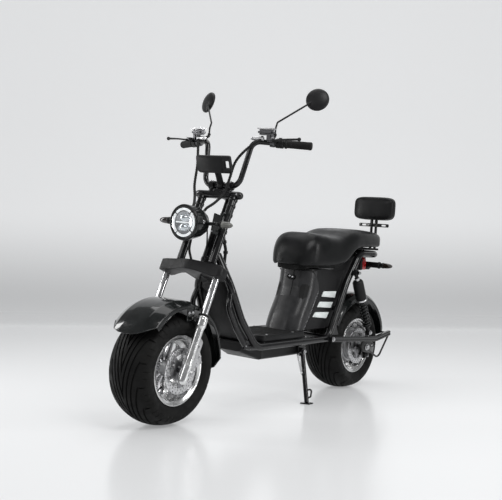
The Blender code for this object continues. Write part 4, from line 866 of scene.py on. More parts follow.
def upper_yoke():
    """The black upper tubes, the cross tube with rounded ends, the bridge to the stem and the bar risers."""
    shapes = []
    for side, _ in SIDES:
        foot = raked(side * UPPER_X, LEG_FORWARD, 0.0232, CLAMP_Z)
        head = leg_point(side * UPPER_X, UPPER_TOP_Z)
        shapes.append(bar(foot, head, YOKE_RADIUS, 48))
        for z in (0.872, 0.898):
            ring = [(YOKE_RADIUS, 0), (0.0188, 0.001), (0.0188, 0.010), (YOKE_RADIUS, 0.011)]
            shapes.append(lathe(eased(ring, 0.0006, 2), leg_point(side * UPPER_X, z), STEER_AXIS, 48))
        start = leg_point(side * RISER_X, UPPER_TOP_Z)
        end = Vector((side * RISER_X, BAR_Y, BAR_CENTRE_Z))
        shapes.append(bar(start, end, 0.0125, 36))
        ring = [
            (0.0117, -0.0125), (0.0185, -0.0125), (0.0195, -0.011), (0.0195, 0.011), (0.0185, 0.0125),
            (0.0117, 0.0125),
        ]
        shapes.append(lathe(ring, end, X, 40))
    half = UPPER_X + 0.040
    profile = [
        (0, -half), (0.0060, 0.0008 - half), (0.0115, 0.004 - half), (0.0150, 0.010 - half),
        (0.0168, 0.020 - half),
    ]
    profile += [(r, -d) for r, d in reversed(profile)]
    shapes.append(lathe(profile, leg_point(0, UPPER_TOP_Z), X, 48))
    piece("yoke_tubes", merge(*shapes), "frame", "steering", ["upper_yoke"])
    slant = Matrix.Rotation(-RAKE, 4, "X")
    middle = (axis_point(UPPER_TOP_Z) + leg_point(0, UPPER_TOP_Z)) / 2
    outline = [
        (-0.030, -0.052), (0.030, -0.052), (0.034, -0.020), (0.027, 0.020), (0.022, 0.048), (-0.022, 0.048),
        (-0.027, 0.020), (-0.034, -0.020),
    ]
    outline = eased(outline, 0.008)
    piece(
        "yoke_bridge",
        plate(outline, 0.0115, Matrix.Translation(middle) @ slant, [circle(0.009, (0, -0.012), 20)], 0.0012),
        "frame", "steering",
    )
    bolts = [bolt(axis_point(UPPER_TOP_Z) + STEER_AXIS * 0.006, STEER_AXIS, 0.013, 0.3, socket=False)]
    for side, _ in SIDES:
        end = Vector((side * RISER_X, BAR_Y, BAR_CENTRE_Z))
        for shift in (-0.0065, 0.0065):
            bolts.append(bolt(end + Vector((shift, -0.004, 0.0185)), Vector((0, -0.2, 1)), 0.0028, 0.5))
        bolts.append(bolt(
            leg_point(side * (half - 0.0215), UPPER_TOP_Z) + FORWARD * 0.0155, FORWARD, 0.0032, 0.4
        ))
    piece("yoke_bolts", merge(*bolts), "steel", "steering")


def handlebar_line():
    """The handlebar's centre line from the right end to the left end."""
    left = [(BAR_FOOT_X, BAR_Y, BAR_CENTRE_Z), BAR_ELBOW, BAR_END]
    corners = [(-x, y, z) for x, y, z in reversed(left)] + left
    line = bent(corners, (0.040, 0.045, 0.045, 0.040))
    line[0], line[-1] = on_bar(0.0045, -1), on_bar(0.0045, 1)
    return line


def grip(side, name):
    """A rubber grip: ribs along it, a flange at its inner end and a domed cap."""
    start = on_bar(GRIP_LENGTH, side)
    out = (on_bar(0, side) - start).normalized()
    length = GRIP_LENGTH
    count = 72
    rows = []
    turn = turns(count)
    flange, body = np.linspace(0, 0.008, 5), np.linspace(0.0095, length - 0.012, 40)
    for d in (*flange, *body, *np.linspace(length - 0.010, length, 8)):
        if d <= 0.008:
            base = 0.0185 + 0.0010 * math.sin(math.pi * d / 0.008)
            ribs = 0.0
        elif d < length - 0.011:
            base = 0.0163
            ribs = 0.0006 if 0.016 < d < length - 0.018 else 0.0
        else:
            share = (d - (length - 0.010)) / 0.010
            base = 0.0168 * math.sqrt(max(0.0, 1 - (0.82 * share) ** 4))
            ribs = 0.0
        radius = base - ribs * (np.arange(count) % 3 == 0) - ribs * 0.6 * (math.sin(d * 900) > 0.8)
        rows.append(np.stack([radius * np.cos(turn), radius * np.sin(turn), np.full(count, d)], -1))
    shape = moved(grid(rows), aimed(start, out))
    piece(f"grip_rubber_{name}", shape, "rubber", "steering", [f"grip_{name}"])


def controls():
    """The handlebar and, on each side, its grip, switch housing, brake control, lever and mirror."""
    piece(
        "bar_tube", tube(handlebar_line(), BAR_RADIUS, 40), "frame", "steering", ["handlebar"]
    )
    for side, name in SIDES:
        grip(side, name)
        brake(side, name)
        mirror(side, name)


def brake(side, name):
    """One brake control: clamp, fluid reservoir with its screwed lid, switch housing, lever and its pivot."""
    start = on_bar(CONTROL_INSET, side)
    out = (on_bar(0, side) - start).normalized()
    tilt = Matrix.Rotation(math.radians(side * 14), 3, "Z")
    middle = start + Vector((side * -0.006, -0.024, 0.044))
    clamp = [(0.0118, 0), (0.0172, 0), (0.0180, 0.002), (0.0180, 0.018), (0.0172, 0.020), (0.0118, 0.020)]
    shapes = [lathe(clamp, start, out, 40)]
    shapes.append(box((0.068, 0.036, 0.022), middle - Vector((0, 0, 0.0050)), 0.007, tilt, 4))
    shapes.append(box((0.022, 0.032, 0.034), start + Vector((side * 0.008, -0.018, 0.018)), 0.005, tilt, 4))
    barrel = start + Vector((side * -0.010, -0.034, 0.012))
    cylinder = bar(barrel, barrel + tilt @ Vector((side * -0.048, 0, 0)), 0.0078, 28, 0.002)
    piece(f"brake_cylinder_{name}", cylinder, "cast", "steering")
    shapes.append(box((0.020, 0.024, 0.014), start + Vector((side * 0.030, -0.034, 0.008)), 0.004, tilt, 4))
    piece(f"brake_body_{name}", merge(*shapes), "dark_cast", "steering", [f"brake_{name}"])
    lid = box((0.074, 0.040, 0.006), middle + Vector((0, 0, 0.0095)), 0.0025, tilt, 3)
    piece(f"brake_lid_{name}", lid, "lid", "steering")
    screws = [bolt(middle + tilt @ Vector((x, 0, 0.0118)), Z, 0.0026, 0.35) for x in (-0.023, 0.023)]
    screws.append(bolt(start + Vector((side * 0.041, -0.044, 0.0128)), Z, 0.0042, 0.35, socket=False))
    banjo = barrel + tilt @ Vector((side * -0.050, 0, 0))
    screws.append(bolt(banjo, tilt @ Vector((side * -1, 0, 0)), 0.0050, 0.6, socket=False))
    piece(f"brake_screws_{name}", merge(*screws), "steel", "steering")
    switch = [
        (0.0119, 0), (0.0165, 0), (0.0198, 0.004), (0.0200, 0.016), (0.0194, 0.018), (0.0200, 0.020),
        (0.0198, 0.032), (0.0165, 0.0362), (0.0119, 0.0362),
    ]
    shapes = [lathe(eased(switch, 0.0012, 2), start + out * 0.0222, out, 48)]
    pod = start + out * 0.040
    for lift, shift, size in ((0.0185, 0.002, 0.012), (-0.002, 0.0195, 0.010)):
        shapes.append(box((0.018, size, 0.010), pod + Vector((0, shift, lift)), 0.003, tilt, 3))
    pivot = start + Vector((side * 0.041, -0.044, 0.004))
    ball = Vector((side * 0.345, -0.347, 1.160))
    bend = pivot.lerp(ball, 0.45) + Vector((0, -0.008, 0.001))
    path = flow((pivot, pivot.lerp(bend, 0.4), bend, ball), 8)
    share = np.linspace(0, 1, len(path))
    shapes.append(tube(path, 0.0068 - 0.0018 * np.sin(math.pi * share), 20, 0.72))
    knob = [(0, -0.0078)] + [
        (0.0080 * math.sin(a), -0.0080 * math.cos(a)) for a in np.linspace(0.2, math.pi - 0.2, 14)
    ] + [(0, 0.0078)]
    shapes.append(lathe(knob, ball, Z, 24))
    shapes.append(box((0.014, 0.050, 0.011), start + Vector((side * 0.039, -0.024, 0.004)), 0.003, tilt, 3))
    piece(f"lever_blade_{name}", merge(*shapes), "satin", "steering", [f"lever_{name}"])
    lamp = lathe(
        rounded([(0, 0), (0.0045, 0), (0.0045, 0.003), (0, 0.0036)], 0.001, 3), pod + Vector((0, 0.023, 0)),
        Vector((0, 1, 0.2)), 20,
    )
    piece(f"switch_button_{name}", lamp, "red" if side < 0 else "white", "steering")


def mirror(side, name):
    """One round mirror: a threaded foot, a thin bent stem, the domed shell and its glass."""
    start = Vector((side * 0.176, -0.272, 1.184))
    bend = Vector((side * 0.176, -0.262, 1.240))
    centre = Vector((side * 0.293, -0.151, 1.350))
    face = Vector((side * -0.38, 0.92, -0.26)).normalized()
    perch = bar(on_bar(CONTROL_INSET, side) + Vector((0, 0.009, 0.009)), start - 0.002 * Z, 0.0062, 20, 0.001)
    stem = tube(
        bent(
            (start, start + 0.030 * Z, bend, centre - face * 0.010 - Vector((side * 0.018, 0.012, 0.016))),
            (0.008, 0.012),
        ),
        0.0038, 20,
    )
    foot = lathe(
        rounded([(0, 0), (0.0075, 0), (0.0075, 0.006), (0.0050, 0.010), (0, 0.010)], 0.001, 2),
        start - 0.0002 * Z, Z, 6,
    )
    dish = [(0, -0.0165)] + [
        (0.049 * math.sin(a), -0.0165 + 0.0165 * (1 - math.cos(a)) ** 0.9)
        for a in np.linspace(0.1, math.pi / 2, 14)
    ]
    dish += [(0.0492, 0.003), (0.0486, 0.0048), (0.0462, 0.0050), (0.0460, 0.0038), (0, 0.0038)]
    knuckle = box(
        (0.020, 0.016, 0.018), centre - face * 0.0125 - Vector((side * 0.012, 0, 0.012)), 0.006, segments=4
    )
    piece(
        f"mirror_shell_{name}", merge(perch, stem, foot, lathe(dish, centre, face, 72), knuckle), "satin",
        "steering", [f"mirror_{name}"],
    )
    glass = [(0, 0.0042), (0.0458, 0.0042), (0.0458, 0.0046), (0, 0.0050)]
    piece(f"mirror_glass_{name}", lathe(glass, centre, face, 64), "mirror", "steering")


# Lamps, display and cables

def headlight():
    """The headlight: bucket, chrome bowl, two half lenses, a light ring in four parts, and the glass."""
    back = [
        (0, -0.1245), (0.020, -0.1240), (0.036, -0.118), (0.052, -0.100), (0.063, -0.072), (0.069, -0.036),
        (0.0712, -0.012), (0.0728, -0.009),
    ]
    rim = [
        (0.0728, -0.002), (0.0705, 0.0008), (0.0640, 0.0010), (0.0610, -0.002), (0.0600, -0.0105),
        (0, -0.0105),
    ]
    shapes = [lathe(rounded(back + rim, 0.004, 4), LAMP_FACE, LAMP_AIM, 96)]
    for side, _ in SIDES:
        shapes.append(bar((side * 0.030, *LAMP_BAR), (side * 0.1205, *LAMP_BAR), 0.0078, 28))
        shapes.append(lathe(
            [(0.0078, 0), (0.0105, 0.001), (0.0105, 0.008), (0.0078, 0.009)], (side * 0.098, *LAMP_BAR),
            side * X, 32,
        ))
        foot = leg_point(side * UPPER_X, LAMP_BAR[1])
        for lift in (-0.034, 0.034):
            spot = leg_point(side * UPPER_X, LAMP_BAR[1] + lift)
            ring = [
                (YOKE_RADIUS + 0.0002, 0), (0.0192, 0.0008), (0.0192, 0.011), (YOKE_RADIUS + 0.0002, 0.012)
            ]
            shapes.append(lathe(ring, spot, STEER_AXIS, 40))
            shapes.append(box((0.005, 0.030, 0.011), spot + Vector((side * -0.004, -0.028, 0.006)), 0.001))
        shapes.append(box(
            (0.005, 0.052, 0.082), foot + Vector((side * -0.004, -0.052, 0)), 0.002,
            Matrix.Rotation(-0.2, 3, "X"),
        ))
    piece("lamp_bucket", merge(*shapes), "gloss", "steering", ["headlight"])
    bolts = []
    for side, _ in SIDES:
        bolts.append(bolt((side * 0.070, -0.566, 0.806), side * X, 0.0048, 0.45))
        bolts.append(bolt((side * 0.0795, -0.528, 0.772), side * X, 0.0030, 0.45))
    piece("lamp_bolts", merge(*bolts), "steel", "steering")
    bowl = [
        (0, -0.0095), (0.018, -0.0088), (0.034, -0.0060), (0.0440, -0.0025), (0.0452, -0.0025),
        (0.0452, -0.0100), (0, -0.0103),
    ]
    ribs = [bowl_rib(turn) for turn in np.radians(np.arange(0, 360, 15))]
    piece("lamp_bowl", merge(lathe(bowl, LAMP_FACE, LAMP_AIM, 96), *ribs), "chrome", "steering")
    lenses = []
    squash = np.array((1.35, 1.0, 0.80))
    for sign in (-1, 1):
        dome = [(0.0195 * math.cos(a), 0.0110 * math.sin(a)) for a in np.linspace(math.pi / 2, 0, 10)]
        dome[0] = (0, 0.0110)
        dome += [(0.0195, -0.001), (0, -0.001)]
        place = LAMP_FACE + LAMP_AIM * -0.0085 + Vector((0, 0, sign * 0.0190))
        made = lathe(dome, place, LAMP_AIM, 48)
        lenses.append(((made[0] - np.array(place)) * squash + np.array(place), made[1]))
    piece("lamp_projectors", merge(*lenses), "mirror", "steering")
    middle = [box((0.0860, 0.0040, 0.0048), LAMP_FACE + LAMP_AIM * -0.0030, 0.0015)]
    for start in (50, 140, 230, 320):
        rows = []
        for a in np.radians(np.linspace(start + 4, start + 86, 26)):
            section = eased(
                [(0.0475, -0.004), (0.0475, 0.0008), (0.0575, 0.0008), (0.0575, -0.004)], 0.0015, 2
            )
            rows.append([(r * math.cos(a), r * math.sin(a), d) for r, d in section])
        middle.append(moved(grid(rows), aimed(LAMP_FACE, LAMP_AIM)))
    piece("lamp_light_ring", merge(*middle), "lamp", "steering")
    gap = oblong(0.0452, 0.0600, -0.0102, -0.0042)
    piece("lamp_ring_seat", lathe(gap, LAMP_FACE, LAMP_AIM, 96), "satin", "steering")
    dome = [(0, 0.0068)] + [(r, 0.0068 - 0.0055 * (r / 0.060) ** 2.4) for r in np.linspace(0.006, 0.0605, 14)]
    dome += [(r, 0.0056 - 0.0055 * (r / 0.060) ** 2.4) for r in np.linspace(0.0605, 0.006, 14)] + [
        (0, 0.0056)
    ]
    piece(
        "lamp_glass", lathe(dome, LAMP_FACE, LAMP_AIM, 96), "glass", "steering", ["headlight_lens"],
    )


def bowl_rib(turn):
    """One fine rib of the headlight's bowl."""
    place = aimed(LAMP_FACE, LAMP_AIM) @ Matrix.Rotation(turn, 4, "Z")
    return moved(
        box((0.016, 0.0009, 0.0012), (0.034, 0, -0.0055), 0.0003, Matrix.Rotation(-0.32, 3, "Y"), 1), place
    )


def turn_signals():
    """The four bullet turn signals on the ends of the headlight's and the tail's bars."""
    for side, name in SIDES:
        turn_signal(f"front_signal_{name}", (side * 0.1213, *LAMP_BAR), side, "steering")
        turn_signal(f"rear_signal_{name}", (side * 0.1253, *TAIL_BAR), side, "chassis")


def turn_signal(name, start, side, body):
    """A bullet turn signal: black stalk and collar, and a ribbed smoked lens."""
    base = [
        (0, 0), (0.0095, 0), (0.0120, 0.004), (0.0145, 0.012), (0.0150, 0.018), (0.0146, 0.0205), (0, 0.0205)
    ]
    base = lathe(rounded(base, 0.001, 3), start, side * X, 40)
    piece(f"{name}_base", base, "satin", body, [name])
    lens = [(0, 0.0207), (0.0145, 0.0207)]
    for d in np.linspace(0.022, 0.0690, 40):
        share = (d - 0.022) / 0.047
        dome = 0.0136 * max(0.0, 1 - share**2.6) ** 0.5
        lens.append((dome * (1 + 0.012 * math.cos(d * 2600)) + 0.0002, d))
    lens.append((0, 0.0697))
    # The near front signal has the smoked lens, the other three its darker copy, painted shade
    finish = "smoke" if name == "front_signal_left" else "smoke_shaded"
    piece(f"{name}_lens", lathe(lens, start, side * X, 40), finish, body)


def display():
    """The rider's display: a rounded housing with a window through it, its screen, arm, ball and clamp."""
    tilt = Matrix.Rotation(math.radians(18), 4, "X")
    middle = Matrix.Translation((0, -0.440, 1.045)) @ tilt
    upright = Matrix.Rotation(math.radians(90), 4, "X")
    outline = eased([
        (-0.093, -0.022), (-0.080, -0.037), (0.084, -0.037), (0.091, -0.030), (0.088, 0.037),
        (-0.090, 0.037),
    ], 0.010, 6)
    hole = eased(oblong(0.058, 0.079, -0.014, 0.014), 0.004)
    shapes = [plate(outline, 0.0136, middle @ upright, [hole[::-1]], 0.0040)]
    rim = eased([(-0.072, -0.031), (0.044, -0.031), (0.044, 0.031), (-0.070, 0.031)], 0.006, 5)
    shapes.append(plate(rim, 0.0024, middle @ Matrix.Translation((0, -0.0073, 0)) @ upright, [], 0.0011))
    arm = flow([
        (0, BAR_Y - 0.010, BAR_CENTRE_Z + 0.012), (0, BAR_Y - 0.024, BAR_CENTRE_Z + 0.040),
        (0, -0.428, 1.034),
    ], 6)
    shapes.append(tube(arm, np.linspace(0.014, 0.0125, len(arm)), 24))
    ball = [(0, -0.013)] + [
        (0.013 * math.sin(a), -0.013 * math.cos(a)) for a in np.linspace(0.15, math.pi - 0.15, 16)
    ] + [(0, 0.013)]
    shapes.append(lathe(ball, (0, -0.431, 1.036), Vector((0, -1, 0.3)), 32))
    clamp = [
        (0.0117, -0.013), (0.0165, -0.013), (0.0175, -0.011), (0.0175, 0.011), (0.0165, 0.013),
        (0.0117, 0.013),
    ]
    shapes.append(lathe(clamp, (0, BAR_Y, BAR_CENTRE_Z), X, 40))
    piece("display_housing", merge(*shapes), "satin", "steering", ["display"])
    screen = eased(oblong(-0.066, 0.040, -0.027, 0.027), 0.004)
    piece(
        "display_screen",
        plate(screen, 0.0016, middle @ Matrix.Translation((0, 0.0070, 0)) @ upright, [], 0.0004), "screen",
        "steering",
    )


def wrapped_cables():
    """The cable bundles in their spiral wrap: a band wound round each bundle, standing proud of it."""
    for name, points in CABLES.items():
        path = even(np.vstack([points[0], flow(points[1:-1], 10), points[-1]]), 0.004)
        core = tube(path, 0.0054, 16)
        fine = even(path, 0.0011)
        across, other = frames(fine)
        far = np.arange(len(fine)) * 0.0011
        turn = far * 2 * math.pi / 0.0105
        wound = fine + 0.0052 * (np.cos(turn)[:, None] * across + np.sin(turn)[:, None] * other)
        band = tube(wound, 0.0013, 6)
        piece(
            f"cable_bundle_{name}", merge(core, band), "sleeve", "steering", [f"cable_{name}"],
            sharp=60,
        )


def hoses():
    """Thin hoses and wires: the brake line down the left leg, and others round the head tube and frame."""
    line = flow([
        (0.112, -0.600, 0.352), (0.110, -0.565, 0.400), (0.100, -0.560, 0.450), (0.070, -0.555, 0.520),
        (0.052, -0.545, 0.560), (0.045, -0.520, 0.620), (0.040, -0.500, 0.700), (0.036, -0.500, 0.780),
        (0.034, -0.512, 0.815),
    ], 8)
    piece("brake_line", tube(even(line, 0.004), 0.0030, 12), "sleeve", "steering")
    line = flow([
        (-0.012, -0.512, 0.828), (-0.014, -0.528, 0.770), (-0.020, -0.530, 0.7278),
        (-0.0247, -0.530, 0.6907), (-0.0127, -0.530, 0.6551), (-0.002, -0.530, 0.6300),
    ], 8)
    piece("lamp_wire", tube(even(line, 0.004), 0.0052, 14), "sleeve", "steering")
    line = even(
        flow([
            (0.030, -0.386, 0.790), (0.030, -0.382, 0.7725), (0.030, -0.374, 0.731),
            (0.030, -0.360, 0.6935), (0.030, -0.3615, 0.660), (0.030, -0.363, 0.626),
            (0.034, -0.372, 0.596),
        ], 8),
        0.004,
    )
    shapes = [tube(line, 0.0066, 16)]
    for share in (0.30, 0.52, 0.78):
        at = int(share * len(line))
        shapes.append(bar(Vector(line[at]), Vector(line[at + 3]), 0.0100, 20, 0.002))
    piece("head_hose", merge(*shapes), "sleeve", "chassis")
    rings = []
    for share in (0.28, 0.62):
        spot = line[int(share * (len(line) - 1))]
        rings.append(lathe(oblong(0.0052, 0.0064, -0.003, 0.003), spot, STEER_AXIS, 20))
    piece("wire_clips", merge(*rings), "dull", "steering")
    inner = flow([
        (0.030, -0.372, 0.640), (0.046, -0.352, 0.560), (0.060, -0.318, 0.470), (0.072, -0.270, 0.380),
        (0.074, -0.225, 0.330), (0.070, -0.180, 0.300),
    ], 8)
    piece("frame_wire", tube(even(inner, 0.005), 0.0036, 12), "sleeve", "chassis")


# Fenders

def fender_shape(axle, rows, section, front_sweep, rear_round):
    """A fender of even thickness: rows of (angle, half width, skirt radius, crown radius) round the axle."""
    wall = 0.0032
    line = rounded(section, 0.035, 4)
    line = line + [(-x, h) for x, h in reversed(line[:-1])]
    first, last = rows[0][0], rows[-1][0]
    outer, inner = [], []
    for angle, half, skirt, crown in flow(rows, 5):
        up, under = [], []
        for x, height in line:
            sweep = front_sweep * abs(x) ** 3.2 * max(0.0, 1 - (angle - first) / 32) ** 1.5
            sweep -= rear_round * abs(x) ** 3 * max(0.0, 1 - (last - angle) / 24) ** 2
            a = math.radians(angle + sweep)
            out = np.array((0, math.sin(a), math.cos(a)))
            for made, thick in ((up, 0.0), (under, wall)):
                radius = skirt + (crown - thick - skirt) * height
                made.append(np.array(axle) + np.array((x * (half - thick), 0, 0)) + radius * out)
        outer.append(up)
        inner.append(under[::-1])
    rims = [outer[0], outer[-1], [row[0] for row in outer], [row[-1] for row in outer]]
    return merge(grid([a + b for a, b in zip(outer, inner)]), *(tube(rim, 0.0017, 8) for rim in rims))


def fenders():
    """The front fender with its beak and crease, the rear fender, and their stays and bolts."""
    half = FENDER_HALF_WIDTH
    rows = [
        (-56, half, 0.2255, 0.2690), (-45, half, 0.2255, 0.2728), (-32, half, 0.2300, FENDER_RADIUS),
        (-15, half, 0.2400, FENDER_RADIUS), (5, half, 0.2440, FENDER_RADIUS),
        (25, half - 0.001, 0.2440, 0.2730), (48, half - 0.004, 0.2440, 0.2700),
        (70, half - 0.010, 0.2485, 0.2640), (96, half - 0.012, 0.2500, 0.2620),
    ]
    section = [(1.0, 0.0), (1.0, 0.42), (0.60, 0.93), (0.30, 0.985), (0.0, 1.0)]
    shapes = [fender_shape(FRONT_AXLE, rows, section, 13.5, 13.0)]
    for side, _ in SIDES:
        shapes.append(box((0.0024, 0.044, 0.060), (side * (half - 0.0010), -0.648, 0.450), 0.0008))
        shapes.append(box((0.014, 0.036, 0.012), (side * 0.1115, -0.636, 0.432), 0.002))
    piece(
        "front_fender_shell", merge(*shapes), "gloss", "steering", ["front_fender"], sharp=26
    )
    bolts = [
        bolt((side * 0.1085, y, 0.452), side * X, 0.0042, 0.4) for side, _ in SIDES for y in (-0.660, -0.638)
    ]
    piece("front_fender_bolts", merge(*bolts), "steel", "steering")
    rows = [(a, half, 0.236, FENDER_RADIUS) for a in (-62, -45, -28, -10, 8, 26, 44, 60)] + [
        (74, half - 0.002, 0.236, FENDER_RADIUS), (83, half - 0.006, 0.238, FENDER_RADIUS - 0.002)
    ]
    section = [(1.0, 0.0), (1.0, 0.45), (0.88, 0.84), (0.55, 0.975), (0.0, 1.0)]
    shapes = [fender_shape(REAR_AXLE, rows, section, 0.0, 6.0)]
    for side, _ in SIDES:
        shapes.append(bar((side * (half - 0.003), 0.898, 0.284), (side * 0.1395, 0.898, 0.284), 0.0048, 20))
    piece("rear_fender_shell", merge(*shapes), "gloss", "chassis", ["rear_fender"], sharp=26)


# Frame, deck and pod

def frame_pipe():
    """The left main pipe: head, down tube, floor rail, side of the pod and round to the tail."""
    corners = (
        (0.014, -0.392, 0.672), (0.092, -0.386, 0.545), (DOWN_X, -0.318, 0.402), (RAIL_X, -0.225, RAIL_Z),
        (RAIL_X, 0.349, RAIL_Z), (RAIL_X, 0.486, 0.557), (RAIL_X, 0.590, TAIL_Z),
        (RAIL_X, TAIL_REAR_Y, TAIL_Z),
        (0, TAIL_REAR_Y, TAIL_Z),
    )
    return bent(corners, (0.12, 0.30, 0.08, 0.06, 0.25, 0.07, 0.080))


def frame_brace():
    """The left lower tube, ahead of the down tube."""
    corners = (
        (0.090, -0.380, 0.530), (0.100, -0.405, 0.462), (0.106, -0.352, 0.372), (0.112, -0.285, 0.288),
        (RAIL_X - 0.002, -0.160, RAIL_Z - 0.004),
    )
    return bent(corners, (0.06, 0.20, 0.06))


def weld(base, direction, radius, seed):
    """A bead of weld round a tube: a torus with overlapping ripples."""
    turn = np.linspace(0, 2 * math.pi, 90, endpoint=False)
    thick = 0.0021 + 0.0004 * np.cos(turn * 26 + seed)
    rows = []
    for angle, size in zip(turn, thick):
        ring = []
        for a in np.linspace(0, 2 * math.pi, 8, endpoint=False):
            r = radius + size * math.cos(a)
            ring.append((r * math.cos(angle), r * math.sin(angle), size * math.sin(a)))
        rows.append(ring)
    return moved(grid(rows, looped=True), aimed(base, direction))


def frame():
    """The welded frame with its tubes, head tube, gussets, cross tubes, lugs and weld beads."""
    left = frame_pipe()
    right = [Vector((-p.x, p.y, p.z)) for p in left]
    shapes = [tube(even([*left, *reversed(right[:-1])], 0.008), PIPE_RADIUS, 36)]
    head = axis_point(HEAD_LOW_Z)
    length = (HEAD_TOP_Z - HEAD_LOW_Z) / math.cos(RAKE)
    ring = [
        (0.0226, 0), (0.0300, 0), (0.0326, 0.002), (0.0326, 0.012), (0.0305, 0.016), (0.0305, length - 0.016),
        (0.0326, length - 0.012), (0.0326, length - 0.002), (0.0300, length), (0.0226, length),
    ]
    shapes.append(lathe(eased(ring, 0.0015, 2), head, STEER_AXIS, 64))
    welds = [weld(axis_point(0.672) + Vector((0, 0.026, 0.004)), Vector((0.3, 1, 0.1)), 0.018, 0)]
    for side, _ in SIDES:
        brace = [Vector((side * p.x, p.y, p.z)) for p in frame_brace()]
        shapes.append(tube(even(brace, 0.008), 0.012, 28))
        lug = Vector((side * 0.1275, *SWING_PIVOT))
        shapes.append(bar(lug, (side * (SWING_X - 0.0103), lug.y, lug.z), 0.0135, 32))
        shapes.append(box((0.008, 0.070, 0.040), (side * 0.113, -0.268, 0.300), 0.003))
        shock_lug = Vector((side * 0.125, *SHOCK_HEAD))
        shapes.append(bar(shock_lug, shock_lug + side * 0.0480 * X, 0.0079, 28))
        gusset = [(0.350, 0.300), (0.438, 0.300), (0.420, 0.330), (0.401, 0.395)]
        rows = [[(side * x, y, z) for y, z in eased(gusset, 0.006, 3)] for x in (0.116, 0.1235)]
        shapes.append(grid(rows))
        welds += [
            weld(lug + side * 0.001 * X, X, 0.0138, 1), weld(shock_lug + side * 0.014 * X, X, 0.0082, 2)
        ]
    for y, z in ((-0.205, 0.284), (0.190, 0.286), (0.420, 0.427), (0.590, 0.690)):
        shapes.append(tube([(-RAIL_X, y, z), (RAIL_X, y, z)], 0.011, 24))
        welds += [weld((side * (RAIL_X - 0.0155), y, z), X, 0.0112, y) for side, _ in SIDES]
    shapes.append(box((0.008, 0.040, 0.062), (STAND_PIVOT[0] - 0.0123, STAND_PIVOT[1], 0.250), 0.002))
    pin = Vector(STAND_PIVOT) - 0.012 * X
    shapes.append(bar(pin, pin + 0.0255 * X, 0.0059, 24))
    piece("frame_tubes", merge(*shapes), "frame", "chassis", ["frame"])
    piece("frame_welds", merge(*welds), "frame", "chassis")
    bolts = []
    for side, _ in SIDES:
        for y, z in ((-0.292, 0.298), (-0.264, 0.285)):
            bolts.append(bolt((side * 0.1172, y, z), side * X, 0.0055, 0.4))
        bolts.append(bolt((side * (SWING_X + 0.0100), *SWING_PIVOT), side * X, 0.0080, 0.32, socket=False))
        bolts.append(bolt((side * 0.1732, *SHOCK_HEAD), side * X, 0.0055, 0.4, socket=False))
    bolts.append(bolt(
        (STAND_PIVOT[0] + 0.0135, STAND_PIVOT[1], STAND_PIVOT[2]), X, 0.0062, 0.4, socket=False
    ))
    piece("frame_bolts", merge(*bolts), "steel", "chassis")


def front_panel():
    """The black splash panel between the down tubes: it follows their centre lines and is gently dished."""
    rows = []
    line = [point for point in frame_pipe() if point.y < 0 and 0.300 < point.z < 0.640]
    for before, point, after in zip(line, line[1:], line[2:]):
        along = (after - before).normalized()
        normal = np.array((0, along.z, -along.y))
        ring = []
        for x, dent in (
            (1, 0.0), (0.9, 0.004), (0.55, 0.008), (0, 0.010), (-0.55, 0.008), (-0.9, 0.004), (-1, 0.0)
        ):
            ring.append(np.array((x * point.x, point.y, point.z)) + (dent - 0.004) * normal)
        rows.append(ring + [spot + 0.003 * normal for spot in reversed(ring)])
    piece("splash_panel", grid(rows), "satin", "chassis", sharp=40)


def deck():
    """The footboard with its ribbed mat and screws, and the belly tray under it."""
    low, high = 0.304, 0.333
    slim = DOWN_X - PIPE_RADIUS - 0.005
    outline = [
        (0.118, 0.150), (-0.118, 0.150), (-0.118, -0.165), (-slim, -0.185), (-slim, -0.250), (slim, -0.250),
        (slim, -0.185), (0.118, -0.165),
    ]
    place = Matrix.Translation((0, 0, (low + high) / 2))
    board = plate(eased(outline, 0.012)[::-1], high - low - 0.0002, place, edge=0.0045)
    piece("footboard", board, "satin", "chassis", ["deck"])
    mat = [
        (0.104, 0.078), (-0.104, 0.078), (-0.104, -0.150), (-slim + 0.012, -0.172), (-slim + 0.012, -0.236),
        (slim - 0.012, -0.236), (slim - 0.012, -0.172), (0.104, -0.150),
    ]
    shapes = [plate(eased(mat, 0.008)[::-1], 0.0022, Matrix.Translation((0, 0, high + 0.0008)), edge=0.0007)]
    for x in np.linspace(-0.092, 0.092, 24):
        front = -0.142 if abs(x) > slim - 0.018 else -0.226
        shapes.append(box(
            (0.0030, 0.066 - front, 0.0016), (x, (0.066 + front) / 2, high + 0.0024), 0.0006, segments=1
        ))
    piece("footboard_mat", merge(*shapes), "dull", "chassis")
    screws = [bolt((x, y, high + 0.0002), Z, 0.0036, 0.2) for x in (-0.110, 0.110) for y in (-0.140, 0.060)]
    piece("footboard_screws", merge(*screws), "steel", "chassis")
    table = flow([
        (-0.262, 0.070, 0.262), (-0.240, 0.074, 0.254), (-0.160, 0.099, 0.225), (-0.130, 0.100, 0.2222),
        (0.100, 0.100, 0.2222), (0.140, 0.099, 0.2235), (0.200, 0.090, 0.233),
    ], 4)
    rings = []
    for y, half, low in table:
        corners = [
            (half, low + 0.008), (half, 0.3034), (-half, 0.3034), (-half, low + 0.008), (0.010 - half, low),
            (half - 0.010, low),
        ]
        rings.append([(x, y, z) for x, z in eased(corners, 0.006, 3)])
    shapes = [grid(rings)]
    for x in (-0.060, -0.020, 0.020, 0.060):
        shapes.append(box((0.008, 0.220, 0.005), (x, -0.015, 0.2216), 0.002))
    piece("belly_pan", merge(*shapes), "satin", "chassis", ["belly_tray"])


def pod_front(z):
    """How far forward the pod's cover reaches at this height."""
    heights = (0.333, 0.365, 0.400, 0.450, 0.486, 0.530, 0.570, 0.615)
    return float(np.interp(z, heights, (0.086, 0.096, 0.110, 0.137, 0.156, 0.172, 0.178, 0.181)))


def pod_rear(z):
    """The pod's rear edge, along the slanted frame pipes."""
    return 0.372 + (z - 0.333) * 0.505


